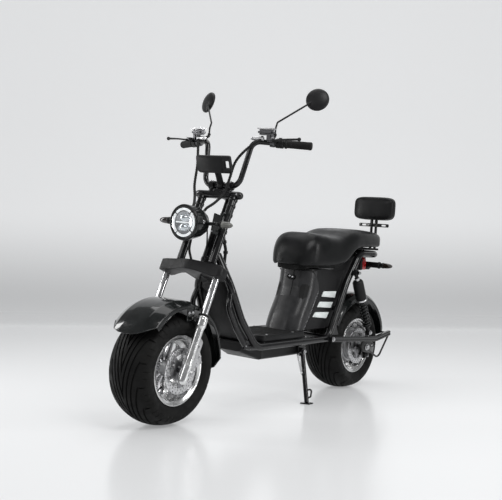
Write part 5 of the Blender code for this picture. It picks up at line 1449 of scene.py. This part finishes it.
def pod():
    """The pod under the seat: its body with rear flanges, the cover, white inserts and a thin lighter strip
    along each side edge of the cover, a painted highlight.
    """
    rows = []
    for z in (POD_LOW_Z, 0.336, *np.linspace(0.345, 0.605, 18), 0.6145, POD_HIGH_Z):
        half = POD_HALF_WIDTH - (0.0016 if z in (POD_LOW_Z, POD_HIGH_Z) else 0)
        front = pod_front(z) + 0.005
        rear = pod_rear(z)
        ring = []
        for x0, y0, radius, start in (
            (half - 0.02, rear - 0.02, 0.02, 0),
            (0.02 - half, rear - 0.02, 0.02, 90),
            (0.064 - half, front + 0.064, 0.064, 180),
            (half - 0.064, front + 0.064, 0.064, 270),
        ):
            for a in np.radians(np.linspace(start, start + 90, 9)):
                ring.append((x0 + radius * math.cos(a), y0 + radius * math.sin(a), z))
        rows.append(ring)
    flanges = []
    for side, _ in SIDES:
        strip = []
        for z in np.linspace(0.338, 0.614, 12):
            section = oblong(0.0915, 0.0943, pod_rear(z) - 0.030, pod_rear(z) + 0.034)
            strip.append([(side * x, y, z) for x, y in section])
        flanges.append(grid(strip))
        wing = [
            (0.384, 0.606), (0.404, 0.620), (0.405, 0.640), (0.440, 0.655), (0.470, 0.674), (0.500, 0.694),
            (0.530, 0.709), (0.592, 0.692), (0.562, 0.655), (0.534, 0.604),
        ]
        flanges.append(grid([[(side * x, y, z) for y, z in wing] for x in (0.0918, 0.0942)]))
    piece(
        "pod_body", merge(grid(rows), *flanges), "satin", "chassis", ["pod_shell"], sharp=24
    )
    cover()
    shapes = []
    for top_left, top_right, low_left, low_right in (
        ((0.319, 0.512), (0.432, 0.510), (0.303, 0.487), (0.420, 0.479)),
        ((0.291, 0.463), (0.407, 0.458), (0.270, 0.438), (0.389, 0.430)),
        ((0.258, 0.414), (0.376, 0.410), (0.236, 0.392), (0.355, 0.381)),
    ):
        line = eased([low_left, low_right, top_right, top_left], 0.004)
        centre = np.mean(line, axis=0)
        rows = []
        for x, shrink in ((0.0945, 1.0), (0.0985, 1.0), (0.0995, 0.96)):
            rows.append([(x, *(centre + (np.array(point) - centre) * shrink)) for point in line])
        shapes.append(grid(rows))
    inserts = merge(*shapes)
    piece("side_inserts", merge(inserts, mirrored(inserts)), "white", "chassis")
    # Thin grey metal strips along the cover's side edges: a painted highlight line
    strips = []
    for side, _ in SIDES:
        path = [(cover_edge(z) + 0.0008, z) for z in (0.3345, 0.360, 0.400, 0.440, 0.480, 0.512)]
        line = flow([(side * 0.0968, y, z) for y, z in path], 8)
        strips.append(tube(line, 0.0016, 8))
    piece("cover_edge_highlight", merge(*strips), "carrier", "chassis")


def cover_edge(z):
    """Where the cover's side edge lies at this height."""
    heights = (0.333, 0.400, 0.470, 0.515, 0.540, 0.565, 0.590, 0.612)
    return float(np.interp(z, heights, (0.165, 0.208, 0.247, 0.273, 0.272, 0.258, 0.236, 0.212)))


def cover():
    """The cover: front face and rounded corners, a recess beside its middle darkened with painted shade, and
    a port with its lock.
    """
    crease = (0.4845, 0.4860, 0.4872, 0.4895)
    heights = (
        0.3336, 0.3350, *np.linspace(0.345, 0.483, 14), *crease, *np.linspace(0.494, 0.606, 20), 0.6085
    )
    outer, inner = [], []
    for z in heights:
        edge = cover_edge(z)
        front = pod_front(z)
        for made, thick in ((outer, 0.0030), (inner, 0.0)):
            half = POD_HALF_WIDTH + 0.0003 + thick
            corner = 0.066 + thick
            face = front + 0.0030 - thick
            line = [(half, y) for y in np.linspace(edge, face + corner, 7)[:-1]]
            for a in np.radians(np.linspace(0, 90, 13)):
                line.append((half - corner + corner * math.cos(a), face + corner - corner * math.sin(a)))
            flat = half - corner
            marks = sorted([*np.linspace(-flat, flat, 9)[1:-1], 0.0112, 0.0126, 0.0252, 0.0266], reverse=True)
            for x in marks:
                dip = 0.0
                if thick and 0.0120 < x < 0.0260 and z > 0.4865:
                    dip = 0.0075 if z > 0.4890 else 0.003
                line.append((x, face + dip - 0.0012 * (1 - (x / flat) ** 2)))
            for a in np.radians(np.linspace(90, 0, 13)):
                line.append((corner - half - corner * math.cos(a), face + corner - corner * math.sin(a)))
            line += [(-half, y) for y in np.linspace(face + corner, edge, 7)[1:]]
            made.append([(x, y, z) for x, y in line])
    piece(
        "pod_cover_shell", grid([a + b[::-1] for a, b in zip(outer, inner)]), "cover", "chassis",
        ["pod_cover"], sharp=22,
    )
    z = 0.576
    front = pod_front(z)
    out = Vector((0, -1, 0.27)).normalized()
    middle = Vector((0.0, front - 0.0002, z))
    ring = [
        (0, -0.002), (0.0165, -0.002), (0.0165, 0.0025), (0.0150, 0.0040), (0.0115, 0.0040), (0.0105, 0.0015),
        (0, 0.0015),
    ]
    made = lathe(rounded(ring, 0.0008, 2), middle, out, 40)
    centre = np.array(middle)
    port = ((made[0] - centre) * (1.45, 1, 0.80) + centre, made[1])
    piece("port_ring", port, "dark", "chassis")
    key = [(0, 0.001), (0.0050, 0.001), (0.0050, 0.0030), (0.0040, 0.0036), (0, 0.0036)]
    shapes = [lathe(rounded(key, 0.0005, 2), middle + Vector((0.010, 0, -0.001)), out, 28)]
    shapes.append(lathe(rounded(key, 0.0005, 2), middle + Vector((-0.006, 0, 0.003)), out, 28))
    piece("port_lock", merge(*shapes), "carrier", "chassis")
    # A dark strip at the back of the recess beside the middle: painted shade in the recess
    rows = []
    for z in np.linspace(0.4895, 0.6080, 10):
        front = pod_front(z)
        rows.append([(x, front + y, z) for x, y in oblong(0.0128, 0.0250, 0.0060, 0.0085)])
    piece("cover_recess_shade", grid(rows), "dark", "chassis")


# Seat and backrest

def seat_ring(y, half, low, high):
    """One section across the seat: full sides, a softly crowned top and a rolled lower edge."""
    middle = low + (high - low) * 0.40
    ring = []
    for t in turns(88):
        c, s = math.cos(t), math.sin(t)
        full = 0.47 + 0.33 * max(0.0, 1 - abs(y - 0.13) / 0.16)
        x = half * math.copysign(abs(c) ** full, c)
        if s >= 0:
            z = middle + (high - middle) * s ** (full + 0.08)
        else:
            z = middle - (middle - low) * abs(s) ** 0.42
            x *= 1 - 0.06 * abs(s) ** 2
            z += 0.014 * min(1.0, max(0.0, (0.90 - abs(x) / half) / 0.16))
        ring.append((x, y, z))
    return ring


def seat():
    """The saddle, with a rider's hollow and a raised pillion, and the pan that carries it."""
    points = seat_detail(np.array([seat_ring(*row) for row in flow(SEAT_TABLE, 5)]))
    made = piece("saddle", grid(points), "leather", "seat", ["seat_cushion"], sharp=60)
    rows = []
    for y, half in (
        (0.158, 0.046), (0.162, 0.064), (0.174, 0.080), (0.200, 0.090), (0.240, 0.095), (0.330, 0.098),
        (0.400, 0.100),
    ):
        top = 0.6405 if y < 0.31 else 0.6405 + (y - 0.31) * 0.10
        low = 0.6225 if y > 0.19 else 0.6140
        ring = [
            (half, low + 0.002), (half + 0.002, top), (-half - 0.002, top), (-half, low + 0.002),
            (0.004 - half, low), (half - 0.004, low),
        ]
        rows.append([(x, y, z) for x, z in eased(ring, 0.002, 2)])
    under = eased([(-0.112, 0.560), (0.112, 0.560), (0.106, 0.826), (-0.106, 0.826)], 0.030, 5)
    rear_plate = plate(under, 0.0095, Matrix.Translation((0, 0, 0.7225)), edge=0.002)
    piece("saddle_pan", merge(grid(rows), rear_plate), "dark", "seat", ["seat_pan"])


def seat_detail(points):
    """Moves the seat's surface: the rider's hollow, a crest ahead of the pillion, and faint puckers.

    Hollow = exp(-((y - 0.31) / 0.085)^2 - (x / 0.085)^2), and the crest is a like ridge that bends with x.
    """
    made = points.copy()
    y, x, z = made[..., 1], made[..., 0], made[..., 2]
    top = np.clip((z - 0.735) / 0.04, 0, 1)
    hollow = np.exp(-(((y - 0.31) / 0.085) ** 2)) * np.exp(-((x / 0.085) ** 2))
    crest = np.exp(-(((y - 0.470 - 6 * x**2) / 0.022) ** 2)) * np.exp(-((x / 0.11) ** 4))
    made[..., 2] += top * (-0.0045 * hollow + 0.0016 * crest)
    pucker = np.sin(y * 310 + 9 * np.sin(x * 40)) * np.exp(-(((z - 0.700) / 0.012) ** 2)) * 0.00025
    made[..., 0] += np.sign(x) * pucker
    return made


def backrest():
    """The backrest: posts, a slotted cross plate, the tongue, and a rounded pad with a piped seam."""
    tongue_low = TAIL_Z + PIPE_RADIUS + 0.0004
    flat = Matrix.Translation((0, 0.862, tongue_low + 0.0025))
    outline = eased(oblong(-0.030, 0.030, -0.080, 0.080), 0.008)
    shapes = [plate(outline, 0.0048, flat, [circle(0.0035, (0, -0.060), 16)], 0.0006)]
    upright = Matrix.Translation((0, POST_Y, 0.850)) @ Matrix.Rotation(math.radians(90), 4, "X")
    bar_line = eased(oblong(-0.090, 0.090, -0.0093, 0.0093), 0.006)
    slots = [eased(oblong(s - 0.013, s + 0.013, -0.0042, 0.0042), 0.004)[::-1] for s in (-0.060, 0.060)]
    shapes.append(plate(bar_line, 0.0048, upright, slots, 0.0007))
    welds = []
    for side, _ in SIDES:
        foot = Vector((side * POST_X, POST_Y, tongue_low + 0.002))
        shapes.append(bar(foot, (foot.x, foot.y, 0.8778), 0.0074, 28))
        welds.append(weld((foot.x, foot.y, tongue_low + 0.0055), Z, 0.0078, 3))
        shapes.append(box((0.016, 0.010, 0.022), (side * POST_X, POST_Y, 0.8665), 0.002))
    piece("backrest_posts", merge(*shapes, *welds), "frame", "chassis", ["backrest_frame"])
    bolts = [
        bolt((x, y, tongue_low + 0.0048), Z, 0.0042, 0.35) for x in (-0.018, 0.018) for y in (0.800, 0.830)
    ]
    bolts += [
        bolt((side * POST_X, POST_Y - 0.0026, 0.850), Vector((0, -1, 0)), 0.0036, 0.4) for side, _ in SIDES
    ]
    piece("backrest_bolts", merge(*bolts), "steel", "chassis")
    rows = []
    for share in np.linspace(0, 1, 26):
        bulge = (1 - abs(2 * share - 1) ** 3.2) ** 0.42 if 0 < share < 1 else 0.0
        grow = 0.80 + 0.20 * bulge
        y = POST_Y + 0.020 - 0.050 * share
        ring = []
        for t in turns(96):
            c, s = math.cos(t), math.sin(t)
            x = math.copysign(abs(c) ** 0.42, c)
            z = math.copysign(abs(s) ** 0.42, s)
            ring.append((PAD_HALF_WIDTH * x * grow, y, PAD_CENTRE_Z + PAD_HALF_HEIGHT * z * grow))
        rows.append(ring)
    front = np.array(rows[-1])
    rings = [np.array(ring) for ring in rows]
    for grow, push in ((0.93, 0.0016), (0.80, 0.0030), (0.55, 0.0042), (0.25, 0.0048), (0.01, 0.0050)):
        centre = np.array((0, front[0][1], PAD_CENTRE_Z))
        rings.append((front - centre) * (grow, 1, grow) + centre + np.array((0, -push, 0)))
    back = rings[0]
    for grow, push in ((0.93, 0.0010), (0.55, 0.0018), (0.01, 0.0020)):
        centre = np.array((0, back[0][1], PAD_CENTRE_Z))
        rings.insert(0, (back - centre) * (grow, 1, grow) + centre + np.array((0, push, 0)))
    pad = piece("backrest_cushion", grid(rings), "leather", "chassis", ["backrest_pad"], sharp=60)
    seam = np.array(rings[8]) * (1.002, 1, 1)
    centre = np.array((0, seam[0][1], PAD_CENTRE_Z))
    seam = (seam - centre) * (1.004, 1, 1.004) + centre
    piece("backrest_piping", grid(seam_rows(seam, 0.0014), looped=True), "leather", "chassis")


def seam_rows(loop, radius):
    """Rings of a thin cord laid along a closed loop of points."""
    loop = np.asarray(loop, float)
    tangents = unit(np.roll(loop, -1, axis=0) - np.roll(loop, 1, axis=0))
    outward = unit(loop - loop.mean(axis=0))
    outward = unit(outward - tangents * (outward * tangents).sum(-1, keepdims=True))
    other = np.cross(tangents, outward)
    turn = turns(8)[None, :, None]
    return loop[:, None] + radius * (np.cos(turn) * outward[:, None] + np.sin(turn) * other[:, None])


# Rear arms, shocks, brakes, tail and stand

def swingarm():
    """The rear arms: a grooved bar each side with its axle plate, nuts and guard rods, and the cross bar."""
    shapes = [bar((-SWING_X, *SWING_CROSS), (SWING_X, *SWING_CROSS), 0.0115, 32)]
    bright = []
    welds = []
    for side, _ in SIDES:
        line = bent(
            (
                (side * SWING_X, SWING_PIVOT[0] - 0.012, SWING_PIVOT[1]), (side * SWING_X, 0.765, 0.262),
                (side * SWING_X, 0.905, 0.284),
            ),
            (0.08,), math.radians(3),
        )
        section = eased([
            (0.0098, -0.0128), (0.0098, -0.0030), (0.0078, 0), (0.0098, 0.0030), (0.0098, 0.0128),
            (-0.0098, 0.0128), (-0.0098, -0.0128),
        ], 0.0035)
        path = even(line, 0.012)
        ahead = unit(np.gradient(path, axis=0))
        rows = []
        for spot, along in zip(path, ahead):
            rows.append(
                [spot + np.array((side * x, 0, 0)) + np.cross((1, 0, 0), along) * z for x, z in section]
            )
        shapes.append(grid(rows))
        outline = [
            (0.640, 0.268), (0.622, 0.235), (0.640, 0.203), (0.700, 0.193), (0.746, 0.191), (0.752, 0.222),
            (0.718, 0.268),
        ]
        flat = Matrix.Translation((side * 0.147, 0, 0)) @ ON_EDGE
        holes = [circle(0.0050, (0.727, 0.232), 16)[::-1]]
        shapes.append(plate(eased(outline, 0.010), 0.0078, flat, holes, 0.0010))
        loop = bent(
            (
                (side * SWING_X, 0.908, 0.283), (side * SWING_X, 0.802, 0.158),
                (side * (SWING_X - 0.003), 0.700, 0.208),
            ),
            (0.04,),
        )
        shapes.append(tube(loop, 0.005, 16))
        hub = REAR_AXLE + side * REAR_AXLE_HALF * X
        shapes.append(bar(hub, hub + side * 0.0245 * X, 0.0138, 32))
        shapes.append(box(
            (0.0048, 0.030, 0.044), (side * (SWING_X - 0.0095), SHOCK_FOOT[0], SHOCK_FOOT[1] - 0.006), 0.002
        ))
        pin = Vector((side * (SWING_X - 0.0095), *SHOCK_FOOT))
        shapes.append(bar(pin, pin + side * 0.0195 * X, 0.0074, 24))
        shapes.append(box(
            (0.004, 0.018, 0.018), (side * (SWING_X + 0.0015), REAR_AXLE.y + 0.062, 0.232), 0.001
        ))
        nut = hub + side * 0.0246 * X
        bright.append(lathe(rounded(oblong(0, 0.0165, 0, 0.0022), 0.0006, 2), nut, side * X, 32))
        bright.append(lathe(
            [(0, 0.0022), (0.0132, 0.0022), (0.0132, 0.0085), (0.0115, 0.0102), (0, 0.0102)], nut, side * X, 6
        ))
        bright.append(bar(nut + side * 0.009 * X, nut + side * 0.0128 * X, 0.0068, 20))
        bright.append(bolt(pin + side * 0.0200 * X, side * X, 0.0080, 0.35, socket=False))
        bright.append(bolt((side * (SWING_X + 0.0012), REAR_AXLE.y + 0.052, 0.232), side * X, 0.0040, 0.4))
        welds.append(weld((side * (SWING_X - 0.0105), *SWING_CROSS), X, 0.0118, 2))
    shapes.append(bar(REAR_AXLE - REAR_AXLE_HALF * X, REAR_AXLE + REAR_AXLE_HALF * X, AXLE_RADIUS, 32))
    piece("rear_arms", merge(*shapes, *welds), "frame", "chassis", ["swingarm"])
    piece("rear_arm_bolts", merge(*bright), "steel", "chassis")


def shocks():
    """The twin shocks: an upper cover with a bright ring, the coil spring over its damper, and the eyes."""
    for side, name in SIDES:
        start = Vector((side * SWING_X, *SHOCK_HEAD))
        end = Vector((side * SWING_X, *SHOCK_FOOT))
        along = (end - start).normalized()
        length = (end - start).length
        cover_line = [
            (0, 0.044), (0.0150, 0.044), (0.0225, 0.0465), (0.0268, 0.054), (0.0275, 0.070), (0.0275, 0.128),
            (0.0270, 0.146), (0.0262, 0.1475), (0, 0.1475),
        ]
        shapes = [lathe(rounded(cover_line, 0.0015, 3), start, along, 56)]
        shapes.append(bar(start + along * 0.0133, start + along * 0.046, 0.0092, 28))
        head_ring = oblong(0.0098, 0.0155, 0.018, 0.0)
        shapes.append(lathe(head_ring, (side * (SWING_X - 0.009), start.y, start.z), side * X, 36))
        foot_ring = eased(oblong(0.0079, 0.0152, 0.0138, 0.0), 0.001, 2)
        shapes.append(lathe(foot_ring, (side * (SWING_X - 0.0066), end.y, end.z), side * X, 36))
        perch = [
            (0, 0.050), (0.0225, 0.050), (0.0235, 0.046), (0.0150, 0.036), (0.0085, 0.030), (0.0085, 0.014),
            (0, 0.014),
        ]
        perch = rounded([(radius, length - rise) for radius, rise in perch], 0.001, 2)
        shapes.append(lathe(perch, start, along, 40))
        shapes.append(bar(start + along * 0.146, start + along * (length - 0.048), 0.0118, 28))
        piece(f"shock_{name}_body", merge(*shapes), "satin", "chassis", [f"shock_{name}"])
        ring = rounded([
            (0, 0.1478), (0.0280, 0.1478), (0.0290, 0.1500), (0.0290, 0.1555), (0.0280, 0.1580),
            (0, 0.1580),
        ], 0.0008, 2)
        collar = bar(start + along * 0.030, start + along * 0.0435, 0.0128, 36, 0.001)
        piece(f"shock_{name}_ring", merge(lathe(ring, start, along, 56), collar), "disc", "chassis")
        spring = coil(start + along * 0.1585, start + along * (length - 0.0505), 0.0185, 0.0036, 8.5, 12)
        piece(f"shock_{name}_spring", spring, "gloss", "chassis")


def calipers():
    """The brake calipers: two-part castings astride the discs, on their adapters, with bolts."""
    for name, axle, angle, body, node, finish, slot in (
        ("front", FRONT_AXLE, 58, "steering", "front_caliper", "cast", "alloy"),
        ("rear", REAR_AXLE, 110, "chassis", "rear_caliper", "satin", "black_steel"),
    ):
        turn = Matrix.Translation(axle) @ Matrix.Rotation(-math.radians(angle), 4, "X")
        turn = turn @ Matrix.Translation((DISC_X, 0, DISC_RADIUS - 0.004))
        shapes = []
        for side, depth in ((1, 0.0128), (-1, 0.0108)):
            outline = eased([
                (-0.033, -0.020), (0.033, -0.020), (0.033, 0.004), (0.020, 0.0215), (-0.020, 0.0215),
                (-0.033, 0.004),
            ], 0.006)
            flat = Matrix.Translation((side * (0.0071 + depth / 2), 0, 0)) @ ON_EDGE
            shapes.append(plate(outline, depth, flat, edge=0.0020))
            for y in (-0.0145, 0.0145):
                shapes.append(bar(
                    (side * 0.0075, y, -0.001), (side * (0.0071 + depth + 0.0020), y, -0.001), 0.0115, 28,
                    0.0012,
                ))
        shapes.append(box((0.016, 0.058, 0.009), (0, 0, 0.0150), 0.002))
        for y in (-0.034, 0.034):
            shapes.append(box((0.026, 0.012, 0.012), (-0.001, y, 0.006), 0.002))
        made = [moved(shape, turn) for shape in shapes]
        if name == "front":
            middle = leg_point(0.117, 0.287) + Vector((0, 0.044, 0))
            outline = eased([(-0.020, -0.074), (0.018, -0.060), (0.020, 0.060), (-0.014, 0.074)], 0.008)
            flat = Matrix.Translation(middle) @ Matrix.Rotation(-RAKE, 4, "X") @ ON_EDGE
            made.append(plate(outline, 0.0085, flat, [circle(0.006, (0.002, 0.034), 18)[::-1]], 0.001))
        else:
            made.append(box((0.036, 0.028, 0.020), (0.1245, 0.730, 0.205), 0.003))
        piece(f"{name}_caliper_body", merge(*made), finish, body, [node])
        bolts = []
        for y in (-0.0265, 0.0265):
            bolts.append(moved(bolt((0.0200, y, 0.0105), X, 0.0038, 0.4), turn))
        bolts.append(moved(bolt((0.0215, 0.0, 0.0150), X, 0.0048, 0.4, socket=False), turn))
        piece(f"{name}_caliper_bolts", merge(*bolts), "steel", body)


def tail():
    """The tail: bracket and bar for the signals, and the ribbed red lamp with its rim."""
    low = TAIL_Z - PIPE_RADIUS - 0.0004
    shapes = [box((0.068, 0.020, 0.030), (0, 0.802, low - 0.015), 0.004)]
    shapes.append(bar((-0.125, *TAIL_BAR), (0.125, *TAIL_BAR), 0.0150, 32, 0.0015))
    shapes.append(box((0.100, 0.050, 0.034), (0, 0.819, 0.630), 0.006))
    shapes.append(box((0.050, 0.019, 0.040), (0, 0.806, 0.652), 0.004))
    for side, _ in SIDES:
        ring = rounded([(0.0152, 0), (0.0175, 0.001), (0.0175, 0.009), (0.0152, 0.010)], 0.001, 2)
        shapes.append(lathe(ring, (side * 0.112, *TAIL_BAR), side * X, 32))
    piece("tail_bracket", merge(*shapes), "satin", "chassis", ["tail_bar"])
    outline = eased(
        [(-0.048, -0.034), (0.048, -0.034), (0.048, 0.020), (0.034, 0.034), (-0.034, 0.034), (-0.048, 0.020)],
        0.010, 5,
    )
    for name, finish, line in (
        ("tail_lens", "red", ((0.7905, 0.97), (0.789, 1.0), (0.7545, 1.0), (0.7535, 0.94))),
        (
            "tail_housing", "satin",
            ((0.7533, 1.02), (0.7520, 1.05), (0.7405, 1.05), (0.7360, 1.00), (0.7350, 0.90)),
        ),
    ):
        rows = [[(x * grow, y, TAIL_LAMP_Z + z * grow) for x, z in outline] for y, grow in line]
        piece(name, grid(rows), finish, "chassis", ["tail_lamp"], sharp=40)
    ribs = []
    for z in np.linspace(-0.022, 0.022, 9):
        ribs.append(box((0.0975, 0.030, 0.0018), (0, 0.772, TAIL_LAMP_Z + z), 0.0006, segments=1))
    piece("tail_lens_ribs", merge(*ribs), "red", "chassis")


def side_stand():
    """The side stand: eye, splayed leg, foot plate, toe loop and its return spring with two hooks."""
    eye = Vector(STAND_PIVOT)
    floor = (STAND_FOOT[0] * math.sin(LEAN) - SHIFT[2]) / math.cos(LEAN)
    foot = Vector((*STAND_FOOT, floor + 0.006))
    along = (foot - eye).normalized()
    ring = eased(oblong(0.0068, 0.0160, 0.0078, -0.0078), 0.0015, 3)
    shapes = [lathe(ring, eye, X, 40)]
    leg = flow([eye + along * 0.012, eye + along * 0.06, foot - along * 0.002], 8)
    shapes.append(tube(leg, 0.0118, 28, 0.85))
    level = Matrix.Rotation(-LEAN, 3, "Y")
    sole = Vector((*STAND_FOOT, floor)) + level @ Z * 0.003
    shapes.append(box((0.050, 0.036, 0.0058), sole, 0.0015, level))
    hook = eye.lerp(foot, 0.765)
    reach = Vector((0.030, 0.004, 0.010))
    toe = bent(
        (hook, hook + reach, hook + reach * 0.9 - Vector((0, 0, 0.035)), hook + along * 0.036), (0.008, 0.008)
    )
    shapes.append(tube(toe, 0.004, 16))
    spring_low = eye + along * 0.105 + Vector((0.004, -0.026, 0))
    shapes.append(bar(eye + along * 0.105, spring_low, 0.0026, 14))
    piece("stand_leg", merge(*shapes), "frame", "stand", ["side_stand"])
    start = eye + Vector((0.004, -0.0400, -0.012))
    wound = coil(start, spring_low + Vector((0, -0.0005, 0.006)), 0.0052, 0.0011, 18, 8)
    spring_end = tube(
        [start + Vector((0, y, z)) for y, z in ((0.026, 0.012), (0.001, 0.003), (0, -0.002))], 0.0014, 8
    )
    piece("stand_spring", merge(wound, spring_end), "steel", "stand")


def front_axle():
    """The front axle with its bright ends and nuts."""
    inner = FORK_X - 0.0203
    axle = bar(FRONT_AXLE - inner * X, FRONT_AXLE + inner * X, AXLE_RADIUS, 32)
    piece("front_axle_bar", axle, "steel", "steering", ["front_axle"])
    nuts = []
    for side, _ in SIDES:
        start = FRONT_AXLE + side * (FORK_X + 0.0212) * X
        nuts.append(lathe(rounded(oblong(0, 0.0150, 0, 0.0020), 0.0005, 2), start, side * X, 32))
        nuts.append(lathe(
            [(0, 0.002), (0.0115, 0.002), (0.0115, 0.0075), (0.0100, 0.0090), (0, 0.0090)], start, side * X, 6
        ))
        nuts.append(bar(start + side * 0.0085 * X, start + side * 0.0125 * X, 0.0062, 20))
    piece("front_axle_nuts", merge(*nuts), "steel", "steering")


# Camera, light and floor

def camera():
    """The camera that sees the scooter as the photograph does."""
    data = bpy.data.cameras.new("camera")
    data.lens = FOCAL_PIXELS / IMAGE_WIDTH * SENSOR_MM
    data.sensor_width = SENSOR_MM
    pitch, roll, yaw = CAMERA_TURN
    turn = Matrix.Rotation(yaw, 4, "Z") @ Matrix.Rotation(pitch, 4, "X") @ Matrix.Rotation(roll, 4, "Y")
    obj = bpy.data.objects.new("camera", data)
    obj.matrix_world = Matrix.Translation(CAMERA_AT) @ turn @ Matrix.Rotation(math.radians(90), 4, "X")
    bpy.context.scene.collection.objects.link(obj)
    bpy.context.scene.camera = obj


def area_light(name, place, target, size, power):
    """A soft rectangular light that faces its target."""
    data = bpy.data.lights.new(name, "AREA")
    data.shape = "RECTANGLE"
    data.size, data.size_y = size
    data.energy = power
    obj = bpy.data.objects.new(name, data)
    aim = Vector(target) - Vector(place)
    obj.matrix_world = Matrix.Translation(place) @ aim.to_track_quat("-Z", "Y").to_matrix().to_4x4()
    bpy.context.scene.collection.objects.link(obj)


def studio_light():
    """Five soft lights and a grey world."""
    area_light("key_light", (2.4, -1.2, 3.4), (0, 0, 0.5), (1.8, 1.8), 64)
    area_light("left_strip", (-2.7, -1.9, 1.5), (0, 0, 0.6), (0.30, 2.6), 34)
    area_light("right_strip", (3.5, 0.9, 1.5), (0, 0, 0.6), (0.35, 2.6), 42)
    area_light("front_light", (-0.6, -4.2, 2.4), (0, -0.2, 0.6), (2.2, 1.2), 24)
    area_light("top_light", (-0.4, 0.4, 3.6), (0, 0, 0.5), (2.6, 2.6), 44)
    world = bpy.data.worlds.new("studio")
    world.use_nodes = True
    background = world.node_tree.nodes["Background"].inputs
    background["Color"].default_value = (0.80, 0.81, 0.82, 1)
    background["Strength"].default_value = 0.30
    bpy.context.scene.world = world


def sweep():
    """The floor and the back wall as one pale surface, flat under the scooter and curved up behind it."""
    facing = Vector((-math.sin(CAMERA_TURN[2]), math.cos(CAMERA_TURN[2]), 0))
    across = Vector((math.cos(CAMERA_TURN[2]), math.sin(CAMERA_TURN[2]), 0))
    line = [(-9.0, 0), (WALL_START, 0)]
    for a in np.linspace(0.04, math.pi / 2, 32):
        line.append((WALL_START + WALL_BEND * math.sin(a), WALL_BEND - WALL_BEND * math.cos(a)))
    line.append((WALL_START + WALL_BEND, 9.0))
    rows = [[tuple(facing * d + across * x + Z * h) for x in np.linspace(-12, 12, 9)] for d, h in line]
    points, faces = grid(rows, around=False)
    mesh = bpy.data.meshes.new("floor")
    mesh.from_pydata([tuple(point) for point in points], [], faces)
    mesh.shade_smooth()
    mesh.materials.append(sweep_material())
    obj = bpy.data.objects.new("floor", mesh)
    bpy.context.scene.collection.objects.link(obj)


def sweep_material():
    """A matt surface that grows rougher with height and glows a little to the camera and in reflections."""
    made = bpy.data.materials.new("floor")
    made.use_nodes = True
    tree = made.node_tree
    shader = tree.nodes["Principled BSDF"]
    shader.inputs["Base Color"].default_value = (0.58, 0.585, 0.59, 1)
    shader.inputs["Specular IOR Level"].default_value = 0.30
    place = tree.nodes.new("ShaderNodeTexCoord").outputs["Object"]
    split = tree.nodes.new("ShaderNodeSeparateXYZ")
    tree.links.new(place, split.inputs[0])
    climbs = []
    for high, start, end in ((0.4, FLOOR_ROUGHNESS, WALL_ROUGHNESS), (1.3, FLOOR_GLOW, WALL_GLOW)):
        climb = tree.nodes.new("ShaderNodeMapRange")
        climb.interpolation_type = "SMOOTHSTEP"
        tree.links.new(split.outputs["Z"], climb.inputs["Value"])
        for name, value in (("From Max", high), ("To Min", start), ("To Max", end)):
            climb.inputs[name].default_value = value
        climbs.append(climb.outputs[0])
    tree.links.new(climbs[0], shader.inputs["Roughness"])
    shader.inputs["Emission Color"].default_value = (0.98, 0.99, 1.0, 1)
    rays = tree.nodes.new("ShaderNodeLightPath").outputs
    seen = rays["Is Camera Ray"]
    for name in ("Is Glossy Ray", "Is Transmission Ray"):
        both = tree.nodes.new("ShaderNodeMath")
        both.operation = "MAXIMUM"
        tree.links.new(seen, both.inputs[0])
        tree.links.new(rays[name], both.inputs[1])
        seen = both.outputs[0]
    glow = tree.nodes.new("ShaderNodeMath")
    glow.operation = "MULTIPLY"
    tree.links.new(climbs[1], glow.inputs[1])
    tree.links.new(seen, glow.inputs[0])
    tree.links.new(glow.outputs[0], shader.inputs["Emission Strength"])
    return made


def dress_battery():
    """Gives the battery, the one solid that still shows, its finish."""
    obj = bpy.data.objects["battery"]
    obj.data.materials.clear()
    obj.data.materials.append(FINISH["dull"])
    for slot in obj.material_slots:
        slot.material = FINISH["dull"]


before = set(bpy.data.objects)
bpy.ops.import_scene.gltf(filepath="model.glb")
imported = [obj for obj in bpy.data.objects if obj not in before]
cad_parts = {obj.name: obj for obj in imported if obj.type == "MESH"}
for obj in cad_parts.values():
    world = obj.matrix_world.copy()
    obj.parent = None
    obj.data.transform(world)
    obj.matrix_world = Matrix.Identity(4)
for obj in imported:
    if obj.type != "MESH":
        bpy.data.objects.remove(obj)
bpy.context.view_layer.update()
FINISH = make_finishes()
camera()
studio_light()
sweep()
dress_battery()
frame()
front_panel()
deck()
pod()
seat()
backrest()
swingarm()
shocks()
tail()
fenders()
wheel("front", FRONT_AXLE, HUB_RADIUS, 0.150, "front_wheel", False)
wheel("rear", REAR_AXLE, MOTOR_RADIUS, 0.13, "rear_wheel", True)
disc("front", FRONT_AXLE, "front_wheel")
disc("rear", REAR_AXLE, "rear_wheel")
front_axle()
fork()
lower_clamp()
upper_yoke()
controls()
headlight()
display()
wrapped_cables()
hoses()
calipers()
turn_signals()
side_stand()
bpy.context.scene.view_settings.view_transform = "Standard"
